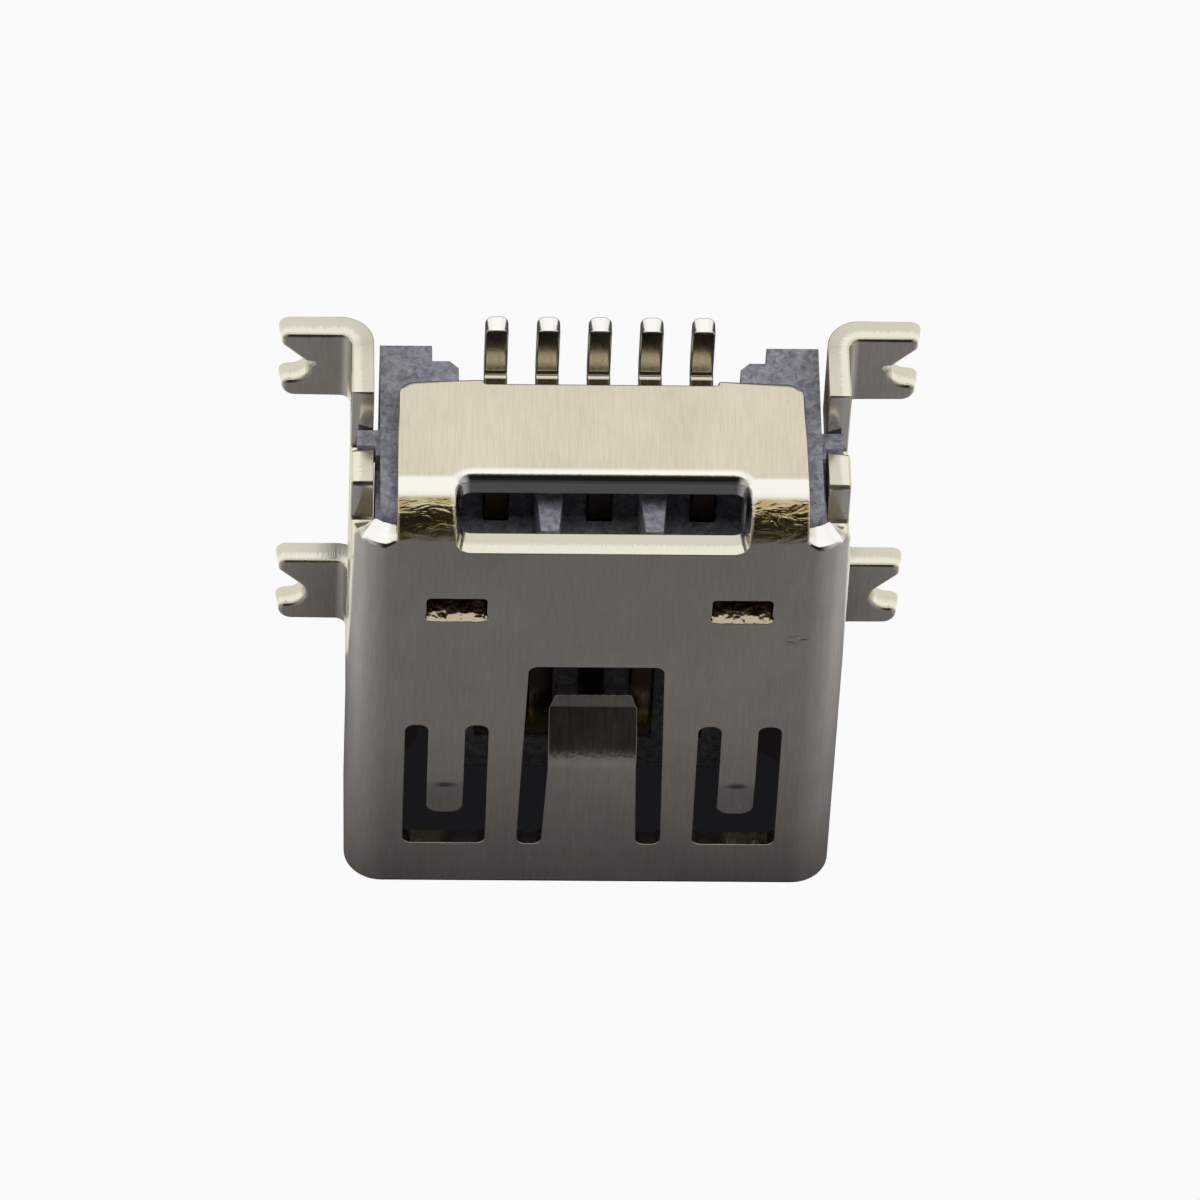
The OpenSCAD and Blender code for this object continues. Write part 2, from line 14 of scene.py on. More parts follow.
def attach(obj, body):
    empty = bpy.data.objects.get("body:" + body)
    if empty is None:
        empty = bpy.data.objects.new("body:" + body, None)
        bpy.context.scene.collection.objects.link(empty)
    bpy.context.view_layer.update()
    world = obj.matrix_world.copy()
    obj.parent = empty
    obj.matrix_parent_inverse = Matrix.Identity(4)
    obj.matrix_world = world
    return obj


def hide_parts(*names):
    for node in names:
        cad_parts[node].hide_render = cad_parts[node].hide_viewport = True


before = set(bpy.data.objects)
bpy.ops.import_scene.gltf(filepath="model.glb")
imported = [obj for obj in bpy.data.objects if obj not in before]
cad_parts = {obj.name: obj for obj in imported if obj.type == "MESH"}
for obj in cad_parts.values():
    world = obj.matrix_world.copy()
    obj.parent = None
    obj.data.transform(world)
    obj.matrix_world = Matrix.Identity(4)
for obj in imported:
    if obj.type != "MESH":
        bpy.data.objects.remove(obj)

LOG = logging.getLogger("socket")
# Blender works in metres, and every size below is in millimetres
MM = 0.001
BODY = "root"

# A corner of an outline: two places in the plane of the sheet and the radius there
Corner = tuple[float, float, float]
# Radius of a corner that looks sharp to the eye
CRISP = 0.05
# Largest turn between two neighbouring points of an arc, in degrees
ARC_STEP = 10.0
# Largest turn between two cuts across a bend, in degrees
BEND_STEP = 6.0
# Wrinkles over a bend, in shares of its length: where they end, how soon they rise and how fast they fade
WRINKLE_END, WRINKLE_RISE, WRINKLE_FADE = 0.8, 0.1, 0.08
# Painted highlight, a paler tone of the plating where the white highlight falls: the share of a bend at
# which it starts, its length past the bend, its soft ends
HIGHLIGHT_FROM, HIGHLIGHT_LEN, HIGHLIGHT_RISE, HIGHLIGHT_FADE = 0.74, 0.15, 0.06, 0.05
# Cuts past a bend with painted highlight, in shares of its painted length
HIGHLIGHT_CUTS = (0.6, 1.0)
# Lean of a sheared edge up to which its rim takes the painted highlight, in radians
HIGHLIGHT_LEAN = 1.1 * math.pi / 2
# Lengths and turns under this count as nought
TINY = 1e-6
# Span that most values of a noise lie in
NOISE_SPAN = (0.3, 0.7)
WHITE = (1.0, 1.0, 1.0, 1.0)
# The room from the rear horizon over the top to the front: white, a dark gap, then grey that brightens
ROOM = ((0.0, (1.0, 1.0, 1.0)), (0.13, (1.0, 1.0, 1.0)), (0.19, (0.1, 0.075, 0.04)),
        (0.26, (0.01, 0.009, 0.007)), (0.45, (0.012, 0.011, 0.011)), (0.52, (0.04, 0.039, 0.04)),
        (0.6, (0.055, 0.053, 0.055)), (0.72, (0.17, 0.168, 0.18)), (0.86, (0.22, 0.218, 0.23)),
        (1.0, (0.7, 0.7, 0.7)))


class Finish(Enum):
    """Places of the two finishes on a piece of stamped sheet."""

    FACE = 0
    SHEARED = 1


def linear(hex_code: str) -> tuple[float, float, float, float]:
    """Turn an sRGB hex colour into the linear values that the shaders take.

    Args:
        hex_code: Six hexadecimal digits after a hash sign.

    Returns:
        Red, green, blue and an alpha of one.
    """
    parts = [int(hex_code[i:i + 2], 16) / 255 for i in (1, 3, 5)]
    red, green, blue = [p / 12.92 if p <= 0.04045 else ((p + 0.055) / 1.055) ** 2.4 for p in parts]
    return red, green, blue, 1.0


def add(tree: bpy.types.NodeTree, kind: str, inputs: dict[Any, Any] | None = None,
        **settings: Any) -> bpy.types.Node:
    """Add a node, set its properties, then fill or link its inputs.

    Args:
        tree: The node tree that gets the node.
        kind: Blender's name for the type of node.
        inputs: Input name or number to a value, or to the socket that feeds it.
        **settings: Properties of the node.

    Returns:
        The new node.
    """
    node = tree.nodes.new(kind)
    for name, value in settings.items():
        setattr(node, name, value)
    for key, value in (inputs or {}).items():
        if isinstance(value, bpy.types.NodeSocket):
            tree.links.new(value, node.inputs[key])
        else:
            node.inputs[key].default_value = value
    return node


def new_material(name: str) -> tuple[bpy.types.Material, bpy.types.NodeTree, bpy.types.Node]:
    """Start a material from a plain principled shader.

    Args:
        name: Name of the real material.

    Returns:
        The material, its node tree and its shader.
    """
    mat = bpy.data.materials.new(name)
    mat.use_nodes = True
    return mat, mat.node_tree, mat.node_tree.nodes["Principled BSDF"]


def link_object(name: str, mesh: bpy.types.Mesh) -> bpy.types.Object:
    """Put a mesh into the scene as an object at the origin.

    Args:
        name: Name of the object.
        mesh: Its mesh, in metres.

    Returns:
        The new object.
    """
    mesh.name = name
    obj = bpy.data.objects.new(name, mesh)
    bpy.context.scene.collection.objects.link(obj)
    return obj


def baked(obj: bpy.types.Object, name: str) -> bpy.types.Object:
    """Turn an object with modifiers into a plain mesh object and drop the original.

    Args:
        obj: The object with its modifiers.
        name: Name of the result.

    Returns:
        The plain object.
    """
    graph = bpy.context.evaluated_depsgraph_get()
    mesh = bpy.data.meshes.new_from_object(obj.evaluated_get(graph))
    bpy.data.objects.remove(obj)
    return link_object(name, mesh)


@dataclass(frozen=True)
class Step:
    """One straight run of a strip and the bend that ends it, measured on the middle of the sheet.

    A positive turn, in degrees, bends the strip towards its outer face.
    """

    run: float
    turn: float = 0.0
    inner_r: float = 0.0


class FoldLine:
    """Line that the middle of a folded strip follows, in an upright plane of its own."""

    def __init__(self, steps: Sequence[Step], thickness: float, heading: float = 0.0) -> None:
        """Lay out the runs and bends one after another.

        Args:
            steps: The runs and bends.
            thickness: Thickness of the sheet.
            heading: Slope of the first run, in degrees.
        """
        self.stretches: list[tuple[float, float, float, float, float]] = []
        self.bends: list[tuple[float, float]] = []
        s, a, b, angle = 0.0, 0.0, 0.0, math.radians(heading)
        for step in steps:
            self.stretches.append((s, a, b, angle, 0.0))
            s += step.run
            a += step.run * math.cos(angle)
            b += step.run * math.sin(angle)
            if not step.turn:
                continue
            turn = math.radians(step.turn)
            curve = math.copysign(1 / (step.inner_r + thickness / 2), turn)
            self.stretches.append((s, a, b, angle, curve))
            self.bends.append((s, s + turn / curve))
            s += turn / curve
            a += (math.sin(angle + turn) - math.sin(angle)) / curve
            b += (math.cos(angle) - math.cos(angle + turn)) / curve
            angle += turn
        self.length = s

    def at(self, s: float) -> tuple[float, float, float, float]:
        """Find the place, heading and curvature at a length along the line.

        Args:
            s: Length from the start of the line.

        Returns:
            Place along and above the start, heading in radians, curvature.
        """
        stretch = next((p for p in reversed(self.stretches) if p[0] <= s), self.stretches[0])
        start, a, b, angle, curve = stretch
        run = s - start
        if not curve:
            return a + run * math.cos(angle), b + run * math.sin(angle), angle, 0.0
        turned = angle + run * curve
        a += (math.sin(turned) - math.sin(angle)) / curve
        b += (math.cos(angle) - math.cos(turned)) / curve
        return a, b, turned, curve

    def wrinkle(self, s: float) -> float:
        """Tell how wrinkled the outer side of a bend is: it starts soon and fades before the bend ends.

        Args:
            s: Length from the start of the line.

        Returns:
            Nought to one.
        """
        parts = [(s - start) / (end - start) for start, end in self.bends]
        return max((min(1.0, p / WRINKLE_RISE, (WRINKLE_END - p) / WRINKLE_FADE)
                    for p in parts if 0 < p < WRINKLE_END), default=0.0)

    def painted_highlight(self, s: float) -> float:
        """Tell how much painted highlight, a paler tone, the end of a bend and the sheet just past it get.

        Args:
            s: Length from the start of the line.

        Returns:
            Nought to one.
        """
        far = [(s - start - HIGHLIGHT_FROM * (end - start), end + HIGHLIGHT_LEN - s) for start, end in self.bends]
        return max((min(1.0, a / HIGHLIGHT_RISE, b / HIGHLIGHT_FADE) for a, b in far if a > 0 and b > 0),
                   default=0.0)

    def cuts(self) -> list[float]:
        """List the lengths at which the flat strip is cut so that it can bend smoothly.

        Returns:
            Lengths from the start of the line.
        """
        places: list[float] = []
        for start, end in self.bends:
            turn = abs(math.degrees((end - start) * self.at((start + end) / 2)[3]))
            count = max(2, math.ceil(turn / BEND_STEP))
            places += [start + (end - start) * i / count for i in range(count + 1)]
        return places


@dataclass(frozen=True)
class Fold:
    """A strip of the flat sheet: where its line starts, and the axis of the sheet that it runs along.

    Crinkle and pitted say how much its bends wrinkle and roughen the plating, and burnished how much
    painted highlight, a paler tone, they get at their ends, from nought to one. The band is the distance
    from the middle of the sheet, from and to, that the strip takes up.
    """

    line: FoldLine
    origin: float
    axis: int
    sign: float
    base_z: float
    crinkle: float = 0.0
    pitted: float = 0.0
    highlight_paint: float = 0.0
    band: tuple[float, float] = (0.0, math.inf)

    def apply(self, place: Vector, normal: Vector) -> tuple[Vector, Vector]:
        """Fold one point of the flat sheet.

        Args:
            place: The point, with its height above the middle of the sheet as z.
            normal: The surface's direction there while the sheet is flat.

        Returns:
            The folded point and its direction.
        """
        a, b, heading, _ = self.line.at((place[self.axis] - self.origin) * self.sign)
        cos, sin = math.cos(heading), math.sin(heading)
        bent, turned = place.copy(), normal.copy()
        bent[self.axis] = self.origin + self.sign * (a - place.z * sin)
        bent.z = self.base_z + b + place.z * cos
        along = normal[self.axis] * self.sign
        turned[self.axis] = self.sign * (along * cos - normal.z * sin)
        turned.z = along * sin + normal.z * cos
        return bent, turned

    def wear(self, place: Vector) -> tuple[float, float, float]:
        """Tell what bending did to the plating at one point of the flat sheet.

        Args:
            place: The point.

        Returns:
            How wrinkled and pitted it is, and how much painted highlight it gets. Only the outer side of a
            bend is stretched.
        """
        s = (place[self.axis] - self.origin) * self.sign
        outer = self.line.at(s)[3] * place.z < 0
        wrinkle = self.line.wrinkle(s) if outer else 0.0
        painted_highlight = self.line.painted_highlight(s) if place.z > 0 else 0.0
        return self.crinkle * wrinkle, self.pitted * wrinkle, self.highlight_paint * painted_highlight

    def cut(self, bm: bmesh.types.BMesh) -> None:
        """Cut the flat sheet along the bends of this strip.

        Args:
            bm: The flat sheet.
        """
        normal = Vector((0, 0, 0))
        normal[self.axis] = 1
        places = self.line.cuts()
        if self.highlight_paint:
            places += [end + HIGHLIGHT_LEN * share for _, end in self.line.bends for share in HIGHLIGHT_CUTS]
        for s in places:
            parts = [*bm.verts, *bm.edges, *bm.faces]
            if self.band[1] < math.inf:
                faces = [f for f in bm.faces
                         if self.band[0] < abs(f.calc_center_median()[1 - self.axis]) < self.band[1]]
                parts = list({part for f in faces for part in (f, *f.edges, *f.verts)})
            place = normal * (self.origin + self.sign * s)
            bmesh.ops.bisect_plane(bm, geom=parts, dist=TINY, plane_co=place, plane_no=normal)


def both_halves(right: Sequence[Corner]) -> list[Corner]:
    """Join the right half of an outline to its mirror image.

    Args:
        right: Corners of the right half, in order.

    Returns:
        Corners of the whole outline.
    """
    return [*right, *[(-u, v, r) for u, v, r in reversed(right)]]


def shifted(corners: Sequence[Corner], u: float, v: float) -> list[Corner]:
    """Shift an outline in the plane of the sheet."""
    return [(cu + u, cv + v, r) for cu, cv, r in corners]


def trace(corners: Sequence[Corner], hole: bool = False) -> list[tuple[Vector, Vector]]:
    """Follow an outline, with an arc at each corner and the sheet on the left.

    Args:
        corners: The corners, in either order.
        hole: True for the outline of a hole.

    Returns:
        Points of the outline, each with the direction that leads out of the sheet.
    """
    ring = [Vector(c[:2]) for c in corners]
    radii = [c[2] for c in corners]
    area = sum(p.cross(q) for p, q in zip(ring, ring[1:] + ring[:1]))
    if (area > 0) == hole:
        ring.reverse()
        radii.reverse()
    points: list[tuple[Vector, Vector]] = []
    for i, (p, r) in enumerate(zip(ring, radii)):
        into = (p - ring[i - 1]).normalized()
        out = (ring[(i + 1) % len(ring)] - p).normalized()
        turn = math.atan2(into.cross(out), into.dot(out))
        side = math.copysign(1.0, turn)
        start = p - into * r * math.tan(abs(turn) / 2)
        centre = start + Vector((-into.y, into.x)) * r * side
        # A corner that doesn't turn only marks a place where the rim changes
        count = max(2, math.ceil(abs(math.degrees(turn)) / ARC_STEP)) if abs(turn) > TINY else 0
        for k in range(count + 1):
            away = Matrix.Rotation(turn * k / max(count, 1), 2) @ Vector((into.y, -into.x))
            points.append((centre + away * r * side, away))
    return points


def set_normals(mesh: bpy.types.Mesh) -> None:
    """Give a smooth mesh the directions that it keeps in its "facing" attribute, and drop the attribute."""
    facing = mesh.attributes["facing"]
    values = [0.0] * (3 * len(mesh.vertices))
    facing.data.foreach_get("vector", values)
    mesh.attributes.remove(facing)
    mesh.polygons.foreach_set("use_smooth", [True] * len(mesh.polygons))
    mesh.normals_split_custom_set_from_vertices(list(zip(values[0::3], values[1::3], values[2::3])))


@dataclass(frozen=True)
class Rim:
    """Section of a sheared edge: its rolled side, the angle of its break, how ragged and how bright it is.

    The angle, in degrees, leans the edge so that its burred side stands out.
    """

    rolled_r: float = 0.04
    break_deg: float = 9.0
    torn: float = 0.0
    highlight_paint: float = 0.0


@dataclass(frozen=True)
class Cut:
    """Closed outline that a punch cuts in the sheet, with a rim that may change along it."""

    corners: Sequence[Corner]
    rim: Rim | Callable[[Vector], Rim] = Rim()

    def rim_at(self, place: Vector) -> Rim:
        """Rim at a place of the outline."""
        return self.rim(place) if callable(self.rim) else self.rim


@dataclass
class Stamping:
    """Flat sheet stamped to an outline, with its sheared edges rolled on one side and burred on the other."""

    outer: Cut
    holes: list[Cut]
    thickness: float
    burr_r: float = 0.015
    rim_steps: int = 4

    def rows(self, rim: Rim) -> list[tuple[float, float, float]]:
        """Work out the rows of points down a sheared edge.

        Args:
            rim: Section of the edge.

        Returns:
            For each row, how far it lies inside the outline, its height and how far it leans outwards.
        """
        half, r, burr, n = self.thickness / 2, rim.rolled_r, self.burr_r, self.rim_steps
        lean_end = math.radians(90 - rim.break_deg)
        slope = math.tan(math.radians(rim.break_deg))
        rows: list[tuple[float, float, float]] = []
        for lean in (lean_end * k / n for k in range(n + 1)):
            rows.append((r * (1 - math.sin(lean)), half - r * (1 - math.cos(lean)), lean))
        inset, height, _ = rows[-1]
        low = burr * (1 + math.cos(lean_end)) - half
        centre = inset - (height - low) * slope + burr * math.sin(lean_end)
        for lean in (lean_end + (math.pi - lean_end) * k / n for k in range(n + 1)):
            rows.append((centre - burr * math.sin(lean), burr * (1 + math.cos(lean)) - half, lean))
        # An edge that leans in leans from its upper rim, so that the outline keeps its size there
        shift = half * max(0.0, slope)
        return [(inset + shift, height, lean) for inset, height, lean in rows]

    def flat(self) -> bmesh.types.BMesh:
        """Build the flat sheet as a closed mesh.

        Returns:
            The mesh, with the direction of the surface stored at each point.
        """
        bm = bmesh.new()
        facing = bm.verts.layers.float_vector.new("facing")
        torn = bm.verts.layers.float.new("torn")
        painted_highlight = bm.verts.layers.float.new("painted_highlight")
        wall = self.rim_steps
        rims: tuple[list, list] = ([], [])
        for cut in (self.outer, *self.holes):
            rings: list[list] = [[] for _ in range(2 * (self.rim_steps + 1))]
            for p, away in trace(cut.corners, hole=cut is not self.outer):
                rim = cut.rim_at(p)
                for k, (ring, (inset, height, lean)) in enumerate(zip(rings, self.rows(rim))):
                    vert = bm.verts.new((*(p - away * inset), height))
                    vert[facing] = (*(away * math.sin(lean)), math.cos(lean))
                    vert[torn] = rim.torn * math.sin(lean)
                    # The rolled side of a rim takes the painted highlight, a paler tone where the highlight
                    # falls
                    vert[painted_highlight] = rim.highlight_paint if k and lean < HIGHLIGHT_LEAN else 0.0
                    ring.append(vert)
            count = len(rings[0])
            for k, (upper, lower) in enumerate(zip(rings, rings[1:])):
                for i in range(count):
                    j = (i + 1) % count
                    quad = bm.faces.new((upper[i], lower[i], lower[j], upper[j]))
                    quad.material_index = Finish.SHEARED.value if k == wall else Finish.FACE.value
            rims[0].append(rings[0])
            rims[1].append(rings[-1])
        for rim, up in zip(rims, (True, False)):
            verts = [v for ring in rim for v in ring]
            for i, j, k in tessellate_polygon([[v.co for v in ring] for ring in rim]):
                a, b, c = verts[i], verts[j], verts[k]
                upward = (b.co - a.co).cross(c.co - a.co).z > 0
                bm.faces.new((a, b, c) if upward == up else (a, c, b))
        return bm

    def folded(self, name: str, folds: Sequence[Fold], choose: Callable[[Vector], Fold]) -> bpy.types.Object:
        """Cut the flat sheet along its bends, fold it and make it an object.

        Args:
            name: Name of the object.
            folds: All folds of the sheet.
            choose: Takes a point of the flat sheet and gives the fold that it belongs to.

        Returns:
            The object. Its attributes hold the direction of each point in "facing", its place in the flat
            sheet in "blank", in millimetres, the wrinkling of the plating in "crinkle", its raggedness
            in "torn" and its painted highlight, a paler tone where the highlight falls, in "burnish".
        """
        bm = self.flat()
        facing = bm.verts.layers.float_vector["facing"]
        for fold in folds:
            fold.cut(bm)
        torn, painted_highlight = (bm.verts.layers.float[key] for key in ("torn", "painted_highlight"))
        blank = bm.verts.layers.float_vector.new("blank")
        crinkle = bm.verts.layers.float.new("crinkle")
        for vert in bm.verts:
            vert[blank] = vert.co
            fold = choose(vert.co)
            wrinkled, pitted, highlit = fold.wear(vert.co)
            vert[crinkle] = wrinkled * max(0.0, vert[facing].z)
            vert[torn] = max(vert[torn], pitted)
            vert[painted_highlight] = max(vert[painted_highlight], highlit)
            place, normal = fold.apply(vert.co, Vector(vert[facing]))
            vert.co = place * MM
            vert[facing] = normal.normalized()
        mesh = bpy.data.meshes.new(name)
        bm.to_mesh(mesh)
        bm.free()
        return link_object(name, mesh)


@dataclass(frozen=True)
class NickelPlate:
    """Nickel-plated steel strip, rolled: a warm, satin metal with fine lines along the roll.

    Its bends are wrinkled where the plating was stretched, and it bears a few scuffs from handling. It
    carries painted shade on each spring and a painted highlight, a paler tone, at the ends of its bends.
    """

    light: str = "#e6ddc7"
    dark: str = "#d2cab6"
    # Dark tone of the scuffs, also used for the painted shade on each spring
    scuff: str = "#5d5852"
    # Warm tone of a bend, where the stretched plating is thin, and the wave heights that it comes in at
    thin: str = "#b9a268"
    thin_span: tuple[float, float] = (0.75, 0.45)
    # Near-white tone painted where the white highlight falls, so that its reflection comes out white: a
    # painted highlight, smoother too
    highlight_paint: str = "#fbf8f0"
    highlight_roughness: float = 0.1
    roughness: tuple[float, float] = (0.19, 0.3)
    # Lines of the roll, drawn about twice as wide as real ones so that they show
    line_w: float = 0.028
    line_l: float = 0.5
    line_d: float = 0.125
    line_h: float = 0.0012
    # Share of the lines in the tone, beside larger blotches
    line_share: float = 0.45
    tone_span: tuple[float, float] = (0.35, 0.65)
    blotch_size: float = 1.6
    grit_size: float = 0.045
    grit_h: float = 0.0012
    # Wrinkles over a bend: long across the sheet and short along it
    wave_w: float = 0.6
    wave_l: float = 0.17
    wave_h: float = 0.08
    # Teeth of a torn rim
    tooth_size: float = 0.09
    tooth_h: float = 0.03
    # A scuff on the top wall, its scratches to a millimetre along each axis, and their slant
    scuff_at: tuple[float, float] = (3.07, 0.28)
    scuff_size: tuple[float, float] = (0.24, 0.16)
    scratch_scale: tuple[float, float, float] = (5.0, 26.0, 1.0)
    scratch_deg: float = 25.0
    scratch_span: tuple[float, float] = (0.5, 0.62)
    # A dark patch painted on each spring: painted shade, the dark that the spring's bend reflects
    spring_shade_at: tuple[float, float] = (2.29, -3.36)
    spring_shade_size: tuple[float, float] = (0.24, 0.09)
    spring_shade_share: float = 0.8
    # Share of a mark's size over which it is at its strongest
    spot_core: float = 0.2

    def spot(self, tree: bpy.types.NodeTree, place: bpy.types.NodeSocket, at: tuple[float, float],
             size: tuple[float, float]) -> bpy.types.NodeSocket:
        """Mask a soft oval of the flat sheet.

        Args:
            tree: The material's node tree.
            place: Place in the flat sheet.
            at: Middle of the oval.
            size: Its two half sizes.

        Returns:
            One in the middle, falling to nought at the rim.
        """
        scale = (1 / size[0], 1 / size[1], 0)
        shift = (-at[0] / size[0], -at[1] / size[1], 0)
        turned = add(tree, "ShaderNodeMapping", {"Vector": place, "Location": shift, "Scale": scale})
        far = add(tree, "ShaderNodeVectorMath", {0: turned.outputs[0]}, operation="LENGTH")
        limits = {"Value": far.outputs["Value"], "From Min": 1.0, "From Max": self.spot_core}
        return add(tree, "ShaderNodeMapRange", limits, interpolation_type="SMOOTHSTEP").outputs[0]

    def material(self) -> bpy.types.Material:
        """Build the shader of the plated strip.

        Returns:
            The material.
        """
        mat, tree, shader = new_material("nickel_plated_steel")
        place = add(tree, "ShaderNodeAttribute", attribute_name="blank").outputs["Vector"]
        crinkle, ragged, highlit = (add(tree, "ShaderNodeAttribute", attribute_name=key).outputs["Fac"]
                                   for key in ("crinkle", "torn", "painted_highlight"))
        waves = add(tree, "ShaderNodeMapping",
                    {"Vector": place, "Scale": (1 / self.wave_w, 1 / self.wave_l, 0)})
        wave = add(tree, "ShaderNodeTexNoise", {"Vector": waves.outputs[0], "Scale": 1.0, "Detail": 3.0,
                                                "Roughness": 0.6, "Distortion": 0.8}).outputs[0]

        # Lines of the roll, long in the direction from the mouth to the rear
        scale = (1 / self.line_w, 1 / self.line_l, 1 / self.line_d)
        along = add(tree, "ShaderNodeMapping", {"Vector": place, "Scale": scale})
        lines = add(tree, "ShaderNodeTexNoise",
                    {"Vector": along.outputs[0], "Scale": 1.0, "Detail": 3.0}).outputs[0]
        blotch = add(tree, "ShaderNodeTexNoise", {"Vector": place, "Scale": 1 / self.blotch_size,
                                                  "Detail": 4.0, "Roughness": 0.6}).outputs[0]
        tone = add(tree, "ShaderNodeMix", {"Factor": self.line_share, "A": blotch, "B": lines}).outputs[0]
        low, high = self.tone_span
        spread = add(tree, "ShaderNodeMapRange", {"Value": tone, "From Min": low, "From Max": high})
        # A Mix node's sockets go by number: 0 is the factor, 6 and 7 are the two colours, and 2 comes out.
        # For plain values, 2 and 3 go in and 0 comes out
        clean = add(tree, "ShaderNodeMix",
                    {0: spread.outputs[0], 6: linear(self.dark), 7: linear(self.light)}, data_type="RGBA")
        low, high = self.thin_span
        bare = add(tree, "ShaderNodeMapRange",
                   {"Value": wave, "From Min": low, "From Max": high, "To Max": crinkle}).outputs[0]

        # A scuff on the top wall, and painted shade on each spring where its bend reflects dark
        scuff = self.spot(tree, place, self.scuff_at, self.scuff_size)
        slant = (0, 0, math.radians(self.scratch_deg))
        scratch = add(tree, "ShaderNodeMapping",
                      {"Vector": place, "Rotation": slant, "Scale": self.scratch_scale})
        streak = add(tree, "ShaderNodeTexNoise", {"Vector": scratch.outputs[0], "Scale": 1.0, "Detail": 2.0})
        low, high = self.scratch_span
        torn = add(tree, "ShaderNodeMapRange",
                   {"Value": streak.outputs[0], "From Min": low, "From Max": high})
        marks = add(tree, "ShaderNodeMath", {0: scuff, 1: torn.outputs[0]}, operation="MULTIPLY")
        mirrored = add(tree, "ShaderNodeVectorMath", {0: place}, operation="ABSOLUTE")
        sides = add(tree, "ShaderNodeSeparateXYZ", {0: mirrored.outputs[0]})
        straight = add(tree, "ShaderNodeSeparateXYZ", {0: place})
        paired = add(tree, "ShaderNodeCombineXYZ", {0: sides.outputs[0], 1: straight.outputs[1], 2: 0.0})
        spring_shade = self.spot(tree, paired.outputs[0], self.spring_shade_at, self.spring_shade_size)
        spring_shade_level = add(tree, "ShaderNodeMath", {0: spring_shade, 1: self.spring_shade_share}, operation="MULTIPLY")
        scuffs_and_shade = add(tree, "ShaderNodeMath", {0: marks.outputs[0], 1: spring_shade_level.outputs[0]},
                   operation="MAXIMUM").outputs[0]
        colour = clean.outputs[2]
        # Over the clean tone: the thin tone of the bends, the scuffs with the painted shade of the springs,
        # and the painted highlight
        for share, tint in ((bare, self.thin), (scuffs_and_shade, self.scuff), (highlit, self.highlight_paint)):
            colour = add(tree, "ShaderNodeMix", {0: share, 6: colour, 7: linear(tint)},
                         data_type="RGBA").outputs[2]
        tree.links.new(colour, shader.inputs["Base Color"])

        # The roll's lines scatter the light more or less from place to place
        (low, high), (satin, dull) = NOISE_SPAN, self.roughness
        rough = add(tree, "ShaderNodeMapRange", {"Value": tone, "From Min": low, "From Max": high,
                                                 "To Min": satin, "To Max": dull})
        # Smoother where the highlight is painted
        smooth = add(tree, "ShaderNodeMix", {0: highlit, 2: rough.outputs[0], 3: self.highlight_roughness})
        tree.links.new(smooth.outputs[0], shader.inputs["Roughness"])
        shader.inputs["Metallic"].default_value = 1.0

        # Relief: waves over a stretched bend, teeth on a torn rim, grit, and the lines
        teeth, grit = (add(tree, "ShaderNodeTexNoise",
                           {"Vector": place, "Scale": 1 / size, "Detail": 2.0}).outputs[0]
                       for size in (self.tooth_size, self.grit_size))
        layers: list[tuple[bpy.types.NodeSocket, float]] = []
        for noise, share, height in ((wave, crinkle, self.wave_h), (teeth, ragged, self.tooth_h)):
            level = add(tree, "ShaderNodeMath", {0: noise, 1: 0.5}, operation="SUBTRACT")
            masked = add(tree, "ShaderNodeMath", {0: level.outputs[0], 1: share}, operation="MULTIPLY")
            layers.append((masked.outputs[0], height))
        below: dict[str, bpy.types.NodeSocket] = {}
        for noise, height in (*layers, (grit, self.grit_h), (lines, self.line_h)):
            bump = add(tree, "ShaderNodeBump",
                       {"Height": noise, "Strength": 1.0, "Distance": height * MM, **below})
            below = {"Normal": bump.outputs[0]}
        tree.links.new(bump.outputs[0], shader.inputs["Normal"])
        return mat


